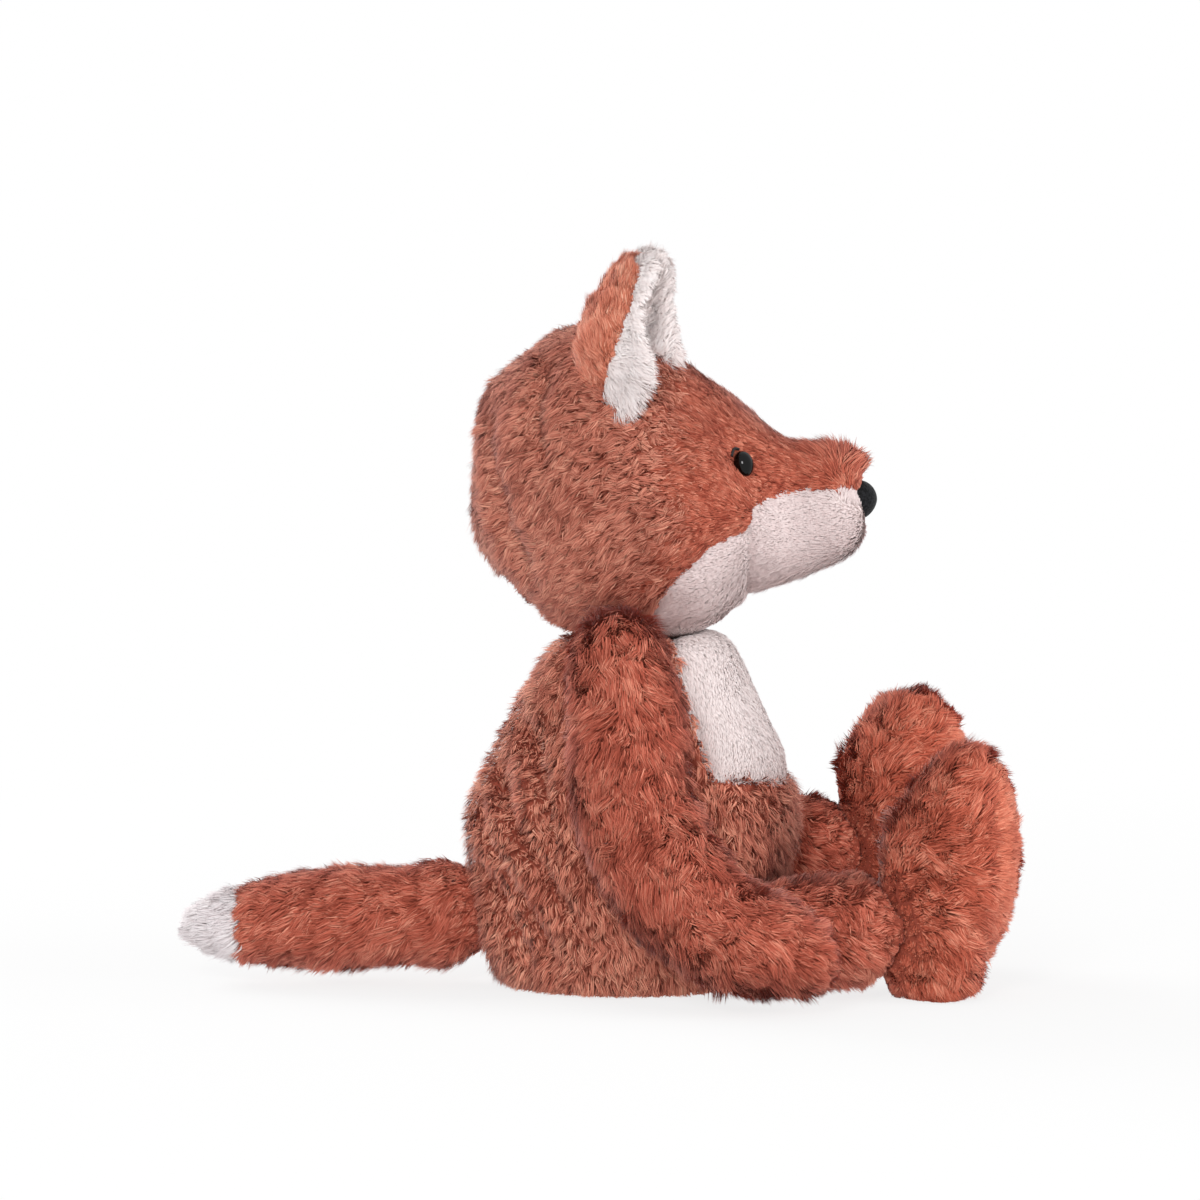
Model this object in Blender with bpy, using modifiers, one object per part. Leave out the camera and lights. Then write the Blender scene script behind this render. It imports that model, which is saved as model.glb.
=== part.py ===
"""A sitting plush fox, built as sewn covers over separate fillings.

The fox faces +X, its left side is +Y, and its seat rests on z = 0. Lengths are in metres.
"""
import math

import bmesh
import bpy
from mathutils import Matrix, Vector

# Cloth, clearances and counts
COVER_WALL = 0.0030
SEAM_GAP = 0.0003
SEAT_GAP = 0.0003
JOINT_GAP = 0.0005
OVERRUN = 0.012
OUTER_LEVEL = 1
INNER_LEVEL = 0

# Torso
TORSO_HEIGHT = 0.126
TORSO_BACK_REACH = 0.0525
TORSO_FRONT_REACH = 0.0585
TORSO_WIDTH = 0.100
TORSO_SIDES = 10
SEAT_FLAT_DEPTH = 0.0040
NECK_FLAT_DEPTH = 0.003
NECK_OPENING_RADIUS = 0.010
TORSO_RING_SHARES = (
    # height, back, front, width
    (0.00, 0.60, 0.66, 0.58),
    (0.04, 0.88, 0.92, 0.88),
    (0.24, 1.01, 1.00, 1.00),
    (0.46, 1.00, 1.01, 1.00),
    (0.66, 0.83, 0.92, 0.86),
    (0.84, 0.60, 0.79, 0.69),
    (0.97, 0.38, 0.68, 0.53),
    (1.00, 0.18, 0.50, 0.34),
)
BIB_TOP_SHARE = 0.28
BIB_CORNER_SHARE = 0.50
BIB_SIDE_HEIGHT_SHARE = 0.62
BIB_FRONT_HEIGHT_SHARE = 0.56

# Bean bag in the seat
BEAN_BAG_LENGTH = 0.054
BEAN_BAG_WIDTH = 0.058
BEAN_BAG_HEIGHT = 0.024
BEAN_BAG_SET_BACK = 0.016

# Head
HEAD_LENGTH = 0.137
HEAD_HEIGHT = 0.115
HEAD_SINK = 0.0055
HEAD_WIDTH = 0.102
HEAD_BACK_REACH = 0.049
HEAD_SIDES = 10
HEAD_RING_SHARES = (
    # length, middle height, half height, half width
    (0.00, 0.530, 0.135, 0.140),
    (0.05, 0.540, 0.270, 0.285),
    (0.20, 0.538, 0.430, 0.450),
    (0.38, 0.500, 0.500, 0.510),
    (0.55, 0.465, 0.440, 0.445),
    (0.68, 0.452, 0.296, 0.285),
    (0.80, 0.442, 0.208, 0.178),
    (0.94, 0.450, 0.168, 0.138),
    (1.00, 0.450, 0.085, 0.070),
)
JAW_SEAM_SHARES = (
    # length, height
    (1.10, 0.491),
    (0.98, 0.489),
    (0.86, 0.507),
    (0.715, 0.463),
    (0.70, 0.393),
    (0.595, 0.338),
    (0.515, 0.246),
    (0.45, 0.142),
    (0.375, 0.083),
    (0.375, -0.10),
    (1.10, -0.10),
)

# Nose and eyes
NOSE_WIDTH = 0.016
NOSE_HEIGHT = 0.0145
NOSE_DEPTH = 0.013
NOSE_LENGTH_SHARE = 0.985
NOSE_HEIGHT_SHARE = 0.472
STEM_RADIUS = 0.0018
STEM_LENGTH = 0.0130
EYE_HEIGHT = 0.0095
EYE_WIDTH = 0.0072
EYE_BULGE = 0.0036
EYE_LENGTH_SHARE = 0.675
EYE_HEIGHT_SHARE = 0.594
WASHER_RADIUS = 0.0048
WASHER_THICKNESS = 0.0014
WASHER_SEGMENTS = 16
ROUND_SEGMENTS = 16
ROUND_RINGS = 8

# Ears
EAR_HEIGHT = 0.048
EAR_HALF_WIDTH = 0.0180
EAR_CUP_DEPTH = 0.0235
EAR_ROOT_DEPTH = 0.010
EAR_BACK_WALL = 0.0020
EAR_LINING_WALL = 0.0016
EAR_LENGTH_SHARE = 0.435
EAR_HEIGHT_SHARE = 0.811
EAR_SIDE_SHARE = 0.300
EAR_TURN = math.radians(26)
EAR_LEANS = {"right": math.radians(17), "left": math.radians(4)}
EAR_COLUMNS = 8
EAR_ROW_SHARES = (
    # up the ear, width, cup depth, forward sweep of the cup's middle
    (0.00, 0.72, 0.80, 0.00),
    (0.22, 0.95, 1.00, 0.00),
    (0.45, 1.00, 1.00, 0.00),
    (0.66, 0.82, 0.85, 0.00),
    (0.84, 0.52, 0.55, 0.02),
    (0.96, 0.20, 0.22, 0.06),
)
EAR_LINING_EDGE_SHARE = 0.96
EAR_TAPER_START_SHARE = 0.50

# Arms
ARM_LENGTH = 0.115
ARM_THICKNESS = 0.031
ARM_SIDES = 8
ARM_FLAT_DEPTH = 0.0020
SHOULDER_HEIGHT_SHARE = 0.885
SHOULDER_FORWARD = 0.002
SHOULDER_FLAT_DEPTH = 0.0015
ARM_PLANE_OUTWARD = Vector((-0.10, 1.0, 0.33)).normalized()
ARM_OPENING_RADIUS = 0.007
ARM_RING_SHARES = (
    # forward, down, half width, half thickness, all of the arm's length but the last
    (-0.010, -0.155, 0.065, 0.50),
    (-0.008, -0.105, 0.115, 0.85),
    (0.008, 0.060, 0.155, 1.00),
    (0.020, 0.290, 0.165, 1.00),
    (0.060, 0.530, 0.166, 1.00),
    (0.240, 0.730, 0.155, 1.00),
    (0.460, 0.820, 0.140, 1.00),
    (0.620, 0.840, 0.090, 0.75),
    (0.660, 0.840, 0.045, 0.40),
)

# Legs and feet
LEG_LENGTH = 0.067
LEG_THICKNESS = 0.035
LEG_SIDES = 8
LEG_ROOT_RINGS = 2
LEG_RING_SHARES = (
    # along, half thickness
    (0.00, 0.536),
    (0.45, 0.500),
    (0.90, 0.500),
    (1.15, 0.500),
)
LEG_RISE = 0.007
LEG_STANCE = 0.072
LEG_OPENING_SHARE = 0.45
HIP_FORWARDS = {"right": 0.048, "left": 0.036}
HIP_HEIGHTS = {"right": 0.0205, "left": 0.0400}
HIP_RAISE = math.radians(25)
HIP_DROP = math.radians(80)
POCKET_ARC_STEPS = 4
FOOT_HEIGHT = 0.090
FOOT_DEPTH = 0.046
FOOT_WIDTH = 0.040
FOOT_SIDES = 8
FOOT_DROPS_BELOW_HIP = {"right": 0.024, "left": 0.031}
FOOT_RING_SHARES = (
    # height, back, front, half width
    (0.00, 0.66, 0.54, 0.30),
    (0.06, 0.90, 0.80, 0.41),
    (0.30, 1.08, 0.97, 0.52),
    (0.56, 1.06, 1.00, 0.52),
    (0.77, 0.70, 0.98, 0.45),
    (0.92, 0.16, 0.84, 0.31),
    (1.00, -0.20, 0.60, 0.13),
)
SOLE_SEAM_SHARE = 0.60

# Tail
TAIL_LENGTH = 0.099
TAIL_THICKNESS = 0.032
TAIL_SIDES = 8
TAIL_ROOT_HEIGHT = 0.026
TAIL_ROOT_SET_OUT = 0.0015
TAIL_DIMPLE_RADIUS = 0.0087
TAIL_OPENING_RADIUS = 0.004
TAIL_TIP_SHARE = 0.82
TAIL_WIDTH_SHARE = 1.08
TAIL_RING_SHARES = (
    # along, height above the root, half thickness
    (-0.072, 0.000, 0.110),
    (-0.050, 0.000, 0.210),
    (0.010, 0.000, 0.250),
    (0.140, -0.008, 0.415),
    (0.360, -0.016, 0.515),
    (0.600, -0.026, 0.480),
    (0.820, -0.040, 0.360),
    (0.960, -0.045, 0.200),
    (1.000, -0.045, 0.090),
)

SIDES = {"right": -1.0, "left": 1.0}
UP = Vector((0.0, 0.0, 1.0))
FORWARD = Vector((1.0, 0.0, 0.0))
LEFTWARD = Vector((0.0, 1.0, 0.0))
NECK_HEIGHT = TORSO_HEIGHT
HEAD_BASE = NECK_HEIGHT - HEAD_SINK
FILLING_INSET = COVER_WALL + SEAM_GAP
FLOOR_FLAT = (Vector((0.0, 0.0, 0.0)), -UP)


def collection(name):
    """Make a collection in the scene."""
    made = bpy.data.collections.new(name)
    bpy.context.scene.collection.children.link(made)
    return made


def material(name, colour, roughness, metallic=0.0):
    """Make a Principled material with one colour."""
    made = bpy.data.materials.new(name)
    made.use_nodes = True
    shader = made.node_tree.nodes["Principled BSDF"]
    shader.inputs["Base Color"].default_value = (*colour, 1.0)
    shader.inputs["Roughness"].default_value = roughness
    shader.inputs["Metallic"].default_value = metallic
    return made


def link_mesh(bm, name, group, finish=None):
    """Turn a bmesh into a smooth-shaded object in a collection."""
    bmesh.ops.recalc_face_normals(bm, faces=bm.faces)
    mesh = bpy.data.meshes.new(name)
    bm.to_mesh(mesh)
    bm.free()
    mesh.shade_smooth()
    obj = bpy.data.objects.new(name, mesh)
    group.objects.link(obj)
    if finish:
        mesh.materials.append(finish)
    if group is CUTTERS:
        obj.hide_render = True
        obj.display_type = "WIRE"
    return obj


def applied(obj):
    """Replace an object's mesh by its evaluated one, with its modifiers applied."""
    graph = bpy.context.evaluated_depsgraph_get()
    shaped = bpy.data.meshes.new_from_object(obj.evaluated_get(graph))
    obj.modifiers.clear()
    old = obj.data
    obj.data = shaped
    bpy.data.meshes.remove(old)
    return obj


def boolean(obj, cutter, operation="DIFFERENCE"):
    """Add an exact Boolean with a cutter."""
    cut = obj.modifiers.new(f"{operation.lower()}_{cutter.name}", "BOOLEAN")
    cut.operation = operation
    cut.solver = "EXACT"
    cut.object = cutter
    return obj


def grown(rings, growth):
    """Grow the half sizes of a row of rings, and its two ends, by one length."""
    lengths = [0.0]
    for last, ring in zip(rings, rings[1:]):
        lengths.append(lengths[-1] + (ring[0] - last[0]).length)
    result = []
    for index, (centre, across, over) in enumerate(rings):
        before = rings[max(index - 1, 0)][0]
        after = rings[min(index + 1, len(rings) - 1)][0]
        along = (after - before).normalized()
        reach = growth * (2.0 * lengths[index] / lengths[-1] - 1.0)
        result.append((
            centre + along * reach,
            across * max((across.length + growth) / across.length, growth_floor(across)),
            over * max((over.length + growth) / over.length, growth_floor(over)),
        ))
    return result


def growth_floor(half_size):
    """The least share of a half size that an inset leaves, a quarter of the wall."""
    return min(1.0, COVER_WALL / (4.0 * half_size.length))


def form(name, rings, sides, group, growth=0.0, flats=(), finish=None, inner_level=INNER_LEVEL):
    """Loft a soft form through unlike rings as a cage, subdivide it and press its flats.

    An inner form, whose growth is negative, stays as coarse as its cage unless it is told otherwise.
    """
    level = inner_level if growth < 0.0 else OUTER_LEVEL
    fullness = 1.0 / math.cos(math.pi / sides) if level else 1.0
    bm = bmesh.new()
    loops = []
    for centre, across, over in grown(rings, growth):
        loop = []
        for step in range(sides):
            angle = 2.0 * math.pi * step / sides
            offset = across * math.cos(angle) + over * math.sin(angle)
            loop.append(bm.verts.new(centre + offset * fullness))
        loops.append(loop)
    for lower, upper in zip(loops, loops[1:]):
        for step in range(sides):
            following = (step + 1) % sides
            bm.faces.new((lower[step], lower[following], upper[following], upper[step]))
    bm.faces.new(list(reversed(loops[0])))
    bm.faces.new(loops[-1])
    obj = link_mesh(bm, name, group, finish)
    rounding = obj.modifiers.new("rounding", "SUBSURF")
    rounding.levels = level
    rounding.render_levels = level
    applied(obj)
    for point, outward in flats:
        press_flat(obj.data, point + outward * growth, outward)
    return triangulated(obj)


def triangulated(obj):
    """Split a form's bent quads alike, so that nested forms keep parallel faces."""
    bm = bmesh.new()
    bm.from_mesh(obj.data)
    bmesh.ops.triangulate(bm, faces=bm.faces, quad_method="FIXED")
    bm.to_mesh(obj.data)
    bm.free()
    obj.data.shade_smooth()
    return obj


def press_flat(mesh, point, outward):
    """Move what stands past a plane onto it."""
    for vertex in mesh.vertices:
        depth = (vertex.co - point).dot(outward)
        if depth > 0.0:
            vertex.co = vertex.co - outward * depth


def cylinder(name, start, end, radius, group, finish=None, segments=ROUND_SEGMENTS):
    """A closed cylinder between two points."""
    bm = bmesh.new()
    axis = end - start
    place = Matrix.Translation((start + end) / 2.0) @ axis.to_track_quat("Z", "Y").to_matrix().to_4x4()
    bmesh.ops.create_cone(bm, cap_ends=True, segments=segments, radius1=radius, radius2=radius,
                          depth=axis.length, matrix=place)
    return link_mesh(bm, name, group, finish)


def ellipsoid(name, place, half_sizes, group, finish=None):
    """A UV sphere stretched to three half sizes and put at a place."""
    bm = bmesh.new()
    bmesh.ops.create_uvsphere(bm, u_segments=ROUND_SEGMENTS, v_segments=ROUND_RINGS, radius=1.0,
                              matrix=place @ Matrix.Diagonal((*half_sizes, 1.0)))
    return link_mesh(bm, name, group, finish)


def prism(name, outline, y_low, y_high, group):
    """Extrude an outline of (x, z) points across the fox."""
    bm = bmesh.new()
    face = bm.faces.new([bm.verts.new((x, y_low, z)) for x, z in outline])
    made = bmesh.ops.extrude_face_region(bm, geom=[face])["geom"]
    moved = [item for item in made if isinstance(item, bmesh.types.BMVert)]
    bmesh.ops.translate(bm, verts=moved, vec=(0.0, y_high - y_low, 0.0))
    return link_mesh(bm, name, group)


def torso_rings():
    """The torso's level sections, from the seat up to above the neck."""
    rings = []
    height = TORSO_HEIGHT + SEAT_FLAT_DEPTH + NECK_FLAT_DEPTH
    for up, back, front, width in TORSO_RING_SHARES:
        rear = -back * TORSO_BACK_REACH
        fore = front * TORSO_FRONT_REACH
        centre = Vector(((rear + fore) / 2.0, 0.0, up * height - SEAT_FLAT_DEPTH))
        rings.append((centre, FORWARD * (fore - rear) / 2.0, LEFTWARD * width * TORSO_WIDTH / 2.0))
    return rings


def torso_half_width(height):
    """The torso's half width at a height, between its rings."""
    rings = torso_rings()
    for lower, upper in zip(rings, rings[1:]):
        if lower[0].z <= height <= upper[0].z:
            share = (height - lower[0].z) / (upper[0].z - lower[0].z)
            return lower[2].y * (1.0 - share) + upper[2].y * share
    return rings[-1][2].y


def head_rings():
    """The head's upright sections, from its back to the tip of the muzzle."""
    rings = []
    for along, middle, half_height, half_width in HEAD_RING_SHARES:
        centre = Vector((along * HEAD_LENGTH - HEAD_BACK_REACH, 0.0,
                         HEAD_BASE + middle * HEAD_HEIGHT))
        rings.append((centre, LEFTWARD * half_width * HEAD_WIDTH, UP * half_height * HEAD_HEIGHT))
    return rings


def head_point(length_share, height_share):
    """A point on the head's right surface, and the surface's outward direction there."""
    x = length_share * HEAD_LENGTH - HEAD_BACK_REACH
    z = HEAD_BASE + height_share * HEAD_HEIGHT

    def half_width(at_x, at_z):
        rings = head_rings()
        for rear, fore in zip(rings, rings[1:]):
            if rear[0].x <= at_x <= fore[0].x:
                share = (at_x - rear[0].x) / (fore[0].x - rear[0].x)
                middle = rear[0].z * (1.0 - share) + fore[0].z * share
                tall = rear[2].z * (1.0 - share) + fore[2].z * share
                wide = rear[1].y * (1.0 - share) + fore[1].y * share
                return wide * math.sqrt(max(0.0, 1.0 - ((at_z - middle) / tall) ** 2))
        return 0.0

    step = EYE_WIDTH
    slope_x = (half_width(x + step, z) - half_width(x - step, z)) / (2.0 * step)
    slope_z = (half_width(x, z + step) - half_width(x, z - step)) / (2.0 * step)
    outward = Vector((-slope_x, -1.0, -slope_z)).normalized()
    return Vector((x, -half_width(x, z), z)), outward


def mirrored(vector, side):
    """A vector given for the right side, for either side."""
    return Vector((vector.x, -vector.y * side, vector.z))


def arm_plane(side):
    """A point and the outward direction of the plane on which an arm swings."""
    height = SHOULDER_HEIGHT_SHARE * TORSO_HEIGHT
    reach = torso_half_width(height) - SHOULDER_FLAT_DEPTH
    point = Vector((SHOULDER_FORWARD, side * reach, height))
    outward = Vector((ARM_PLANE_OUTWARD.x, side * ARM_PLANE_OUTWARD.y, ARM_PLANE_OUTWARD.z))
    return point, outward


def arm_rings(side):
    """The arm's sections, from above the shoulder to the paw, lying on its plane."""
    shoulder, outward = arm_plane(side)
    half = ARM_THICKNESS / 2.0
    centres = []
    for forward, down, _, thick in ARM_RING_SHARES:
        x = shoulder.x + forward * ARM_LENGTH
        z = shoulder.z - down * ARM_LENGTH
        along_plane = ((x - shoulder.x) * outward.x + (z - shoulder.z) * outward.z) / outward.y
        on_plane = Vector((x, shoulder.y - along_plane, z))
        centres.append(on_plane + outward * (half - ARM_FLAT_DEPTH))
    rings = []
    for index, centre in enumerate(centres):
        before = centres[max(index - 1, 0)]
        after = centres[min(index + 1, len(centres) - 1)]
        along = (after - before).normalized()
        _, _, width, thick = ARM_RING_SHARES[index]
        across = outward.cross(along).normalized()
        rings.append((centre, across * width * ARM_LENGTH, outward * thick * half))
    return rings


def hip(side_name):
    """The centre of a hip, on the leg's hinge."""
    return Vector((HIP_FORWARDS[side_name], SIDES[side_name] * LEG_STANCE / 2.0, HIP_HEIGHTS[side_name]))


def leg_rings(side_name):
    """The leg's sections: a round root on the hip, then a tube into the foot."""
    radius = LEG_THICKNESS / 2.0
    root = hip(side_name)
    along = Vector((LEG_LENGTH, 0.0, LEG_RISE)).normalized()
    over = along.cross(LEFTWARD).normalized()
    rings = []
    for step in range(1, LEG_ROOT_RINGS + 1):
        angle = math.pi / 2.0 * step / (LEG_ROOT_RINGS + 1)
        size = radius * math.sin(angle)
        rings.append((root - along * radius * math.cos(angle), LEFTWARD * size, over * size))
    for share, half in LEG_RING_SHARES:
        size = half * LEG_THICKNESS
        rings.append((root + along * LEG_LENGTH * share, LEFTWARD * size, over * size))
    return rings


def foot_rings(side_name):
    """The foot's level sections, from the floor to the toes."""
    root = hip(side_name)
    middle_x = root.x + LEG_LENGTH
    heel = root.z - FOOT_DROPS_BELOW_HIP[side_name]
    rings = []
    for up, back, front, width in FOOT_RING_SHARES:
        rear = middle_x - back * FOOT_DEPTH / 2.0
        fore = middle_x + front * FOOT_DEPTH / 2.0
        centre = Vector(((rear + fore) / 2.0, root.y, heel + up * FOOT_HEIGHT))
        rings.append((centre, FORWARD * (fore - rear) / 2.0, LEFTWARD * width * FOOT_WIDTH))
    return rings


def tail_root():
    """The centre of the tail's round root, on the back of the torso."""
    return Vector((-TORSO_BACK_REACH - TAIL_ROOT_SET_OUT, 0.0, TAIL_ROOT_HEIGHT))


def tail_rings():
    """The tail's upright sections, from its root to the tip."""
    root = tail_root()
    rings = []
    for along, rise, half in TAIL_RING_SHARES:
        centre = root + Vector((-along * TAIL_LENGTH, 0.0, rise * TAIL_LENGTH))
        size = half * TAIL_THICKNESS
        rings.append((centre, LEFTWARD * size * TAIL_WIDTH_SHARE, UP * size))
    return rings


def neck_opening(name):
    """The cutter that opens the covers at the neck."""
    low = Vector((neck_forward(), 0.0, NECK_HEIGHT - OVERRUN / 2.0))
    return cylinder(name, low, low + UP * OVERRUN, NECK_OPENING_RADIUS, CUTTERS)


def neck_forward():
    """Where the neck's axis stands along the fox."""
    top = torso_rings()[-1]
    return top[0].x


def leg_pocket(name, side_name, growth):
    """The hollow in which a leg's round root turns, open to the leg's whole swing."""
    root = hip(side_name)
    side = SIDES[side_name]
    radius = LEG_THICKNESS / 2.0 + JOINT_GAP + growth
    tilt = math.atan2(LEG_RISE, LEG_LENGTH)
    high = HIP_RAISE + tilt
    low = tilt - HIP_DROP
    start = high + math.pi / 2.0
    sweep = low + math.pi * 1.5 - start
    half_step = sweep / (2.0 * POCKET_ARC_STEPS)
    tangent = radius / math.cos(half_step)
    far = LEG_LENGTH * 2.0
    outline = [(root.x + far, root.z - far)]
    outline.append((root.x + far * math.cos(high) + radius * math.cos(start),
                    root.z + far * math.sin(high) + radius * math.sin(start)))
    for step in range(POCKET_ARC_STEPS):
        angle = start + half_step * (2.0 * step + 1.0)
        outline.append((root.x + tangent * math.cos(angle), root.z + tangent * math.sin(angle)))
    end = start + sweep
    outline.append((root.x + far * math.cos(low) + radius * math.cos(end),
                    root.z + far * math.sin(low) + radius * math.sin(end)))
    inner = root.y - side * radius
    outer = root.y + side * (radius + OVERRUN * 2.0)
    return prism(name, outline, min(inner, outer), max(inner, outer), CUTTERS)


def bib_cutter(name, shift):
    """The block that parts the bib from the body cover, moved outward for the seam."""
    top = NECK_HEIGHT + OVERRUN
    front = TORSO_FRONT_REACH + OVERRUN
    outline = (
        (BIB_TOP_SHARE * TORSO_FRONT_REACH - shift, top),
        (BIB_CORNER_SHARE * TORSO_FRONT_REACH - shift, BIB_SIDE_HEIGHT_SHARE * TORSO_HEIGHT - shift),
        (front, BIB_FRONT_HEIGHT_SHARE * TORSO_HEIGHT - shift),
        (front, top),
    )
    return prism(name, outline, -TORSO_WIDTH, TORSO_WIDTH, CUTTERS)


def build_torso():
    """The body cover, its bib, its filling and the bean bag in the seat."""
    flats = [FLOOR_FLAT, (Vector((0.0, 0.0, NECK_HEIGHT)), UP)]
    flats += [arm_plane(side) for side in SIDES.values()]
    cavity = form("torso_cavity", torso_rings(), TORSO_SIDES, CUTTERS, -COVER_WALL, flats)
    root = tail_root()
    dimples = {}
    for label, growth in (("cover", 0.0), ("cavity", COVER_WALL), ("filling", FILLING_INSET)):
        size = TAIL_DIMPLE_RADIUS + growth
        dimples[label] = ellipsoid(f"tail_dimple_{label}", Matrix.Translation(root),
                                   (size, size, size), CUTTERS)
    for side_name in SIDES:
        boolean(cavity, leg_pocket(f"{side_name}_pocket_cavity", side_name, COVER_WALL))
    boolean(cavity, dimples["cavity"])
    opening = neck_opening("torso_neck_opening")

    cover = form("torso_cover", torso_rings(), TORSO_SIDES, FOX, 0.0, flats, RUST)
    bib = form("chest_panel", torso_rings(), TORSO_SIDES, FOX, 0.0, flats, CREAM)
    pockets = [leg_pocket(f"{side_name}_pocket", side_name, 0.0) for side_name in SIDES]
    for panel in (cover, bib):
        for cutter in (*pockets, dimples["cover"], cavity, opening):
            boolean(panel, cutter)
    boolean(cover, bib_cutter("bib_seam", SEAM_GAP))
    boolean(bib, bib_cutter("bib_block", 0.0), "INTERSECT")

    bag_low = FILLING_INSET
    bag_middle = Vector((-BEAN_BAG_SET_BACK, 0.0, bag_low + BEAN_BAG_HEIGHT / 2.0))
    bag_halves = Vector((BEAN_BAG_LENGTH, BEAN_BAG_WIDTH, BEAN_BAG_HEIGHT)) / 2.0
    ellipsoid("seat_bean_bag", Matrix.Translation(bag_middle), bag_halves, FOX, PELLETS)
    room = bag_halves + Vector((SEAM_GAP, SEAM_GAP, SEAM_GAP)) * 2.0
    bag_room = ellipsoid("bean_bag_room", Matrix.Translation(bag_middle), room, CUTTERS)
    filling = form("torso_filling", torso_rings(), TORSO_SIDES, FOX, -FILLING_INSET, flats, FIBRE)
    for side_name in SIDES:
        boolean(filling, leg_pocket(f"{side_name}_pocket_filling", side_name, FILLING_INSET))
    boolean(filling, dimples["filling"])
    boolean(filling, bag_room)


def jaw_cutter(name, shift):
    """The block that parts the cream jaw from the rust head, moved outward for the seam."""
    outline = []
    for along, up in JAW_SEAM_SHARES:
        x = along * HEAD_LENGTH - HEAD_BACK_REACH
        outline.append((x - shift, HEAD_BASE + up * HEAD_HEIGHT + shift))
    return prism(name, outline, -HEAD_WIDTH, HEAD_WIDTH, CUTTERS)


def stem_frame(point, outward):
    """A frame at a point with its Z axis outward and its X axis as upright as it can be."""
    upright = (UP - outward * UP.dot(outward)).normalized()
    sideways = outward.cross(upright)
    turn = Matrix((upright, sideways, outward)).transposed().to_4x4()
    return Matrix.Translation(point) @ turn


def trim_piece(name, frame, half_sizes, lift, skin, finish):
    """A domed piece on the skin with a stem that passes through it."""
    dome = ellipsoid(name, frame @ Matrix.Translation((0.0, 0.0, lift)), half_sizes, FOX, finish)
    boolean(dome, skin)
    inner = frame @ Vector((0.0, 0.0, -STEM_LENGTH))
    outer = frame @ Vector((0.0, 0.0, lift + half_sizes[2] / 2.0))
    stem = cylinder(name + "_stem", inner, outer, STEM_RADIUS, CUTTERS)
    boolean(dome, stem, "UNION")
    hole = cylinder(name + "_hole", frame @ Vector((0.0, 0.0, -STEM_LENGTH - OVERRUN)),
                    frame @ Vector((0.0, 0.0, OVERRUN)), STEM_RADIUS + SEAM_GAP, CUTTERS)
    return dome, hole


def lock_washer(name, frame, depth):
    """The washer that locks a stem behind the cover."""
    low = frame @ Vector((0.0, 0.0, -depth - WASHER_THICKNESS))
    high = frame @ Vector((0.0, 0.0, -depth))
    washer = cylinder(name, low, high, WASHER_RADIUS, FOX, NYLON, WASHER_SEGMENTS)
    bore = cylinder(name + "_bore", frame @ Vector((0.0, 0.0, -STEM_LENGTH - OVERRUN)), frame @
                    Vector((0.0, 0.0, OVERRUN)), STEM_RADIUS + SEAM_GAP, CUTTERS)
    boolean(washer, bore)
    return washer


def washer_room(name, frame, depth):
    """The room that a washer and the end of its stem take from the filling."""
    low = frame @ Vector((0.0, 0.0, -max(STEM_LENGTH, depth + WASHER_THICKNESS) - SEAM_GAP * 2.0))
    high = frame @ Vector((0.0, 0.0, OVERRUN))
    return cylinder(name, low, high, WASHER_RADIUS + SEAM_GAP * 2.0, CUTTERS)


def build_head():
    """The head's two covers, its filling, nose and eyes."""
    neck_flat = (Vector((0.0, 0.0, NECK_HEIGHT + SEAT_GAP)), -UP)
    cavity = form("head_cavity", head_rings(), HEAD_SIDES, CUTTERS, -COVER_WALL, [neck_flat])
    skin = form("head_skin", head_rings(), HEAD_SIDES, CUTTERS, SEAT_GAP, [neck_flat])
    opening = neck_opening("head_neck_opening")
    holes = []
    rooms = []

    nose_point = Vector((NOSE_LENGTH_SHARE * HEAD_LENGTH - HEAD_BACK_REACH, 0.0,
                         HEAD_BASE + NOSE_HEIGHT_SHARE * HEAD_HEIGHT))
    nose_frame = stem_frame(nose_point, FORWARD)
    nose_halves = (NOSE_HEIGHT / 2.0, NOSE_WIDTH / 2.0, NOSE_DEPTH / 2.0)
    _, hole = trim_piece("nose", nose_frame, nose_halves, 0.0, skin, NOSE_BLACK)
    nose_depth = STEM_LENGTH - WASHER_THICKNESS
    lock_washer("nose_washer", nose_frame, nose_depth)
    holes.append(hole)
    rooms.append(washer_room("nose_washer_room", nose_frame, nose_depth))

    for side_name, side in SIDES.items():
        point, outward = head_point(EYE_LENGTH_SHARE, EYE_HEIGHT_SHARE)
        frame = stem_frame(mirrored(point, side), mirrored(outward, side))
        halves = (EYE_HEIGHT / 2.0, EYE_WIDTH / 2.0, EYE_BULGE + COVER_WALL)
        eye_name = f"{side_name}_eye"
        _, hole = trim_piece(eye_name, frame, halves, -COVER_WALL, skin, EYE_BLACK)
        depth = COVER_WALL * 2.0
        lock_washer(eye_name + "_washer", frame, depth)
        holes.append(hole)
        rooms.append(washer_room(eye_name + "_washer_room", frame, depth))

    cover = form("head_cover", head_rings(), HEAD_SIDES, FOX, 0.0, [neck_flat], RUST)
    jaw = form("jaw_cover", head_rings(), HEAD_SIDES, FOX, 0.0, [neck_flat], CREAM)
    boolean(cover, jaw_cutter("jaw_seam", SEAM_GAP))
    boolean(jaw, jaw_cutter("jaw_block", 0.0), "INTERSECT")
    for panel in (cover, jaw):
        for cutter in (cavity, opening, *holes):
            boolean(panel, cutter)

    filling = form("head_filling", head_rings(), HEAD_SIDES, FOX, -FILLING_INSET, [neck_flat], FIBRE)
    for room in rooms:
        boolean(filling, room)
    build_ears(skin)


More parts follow.
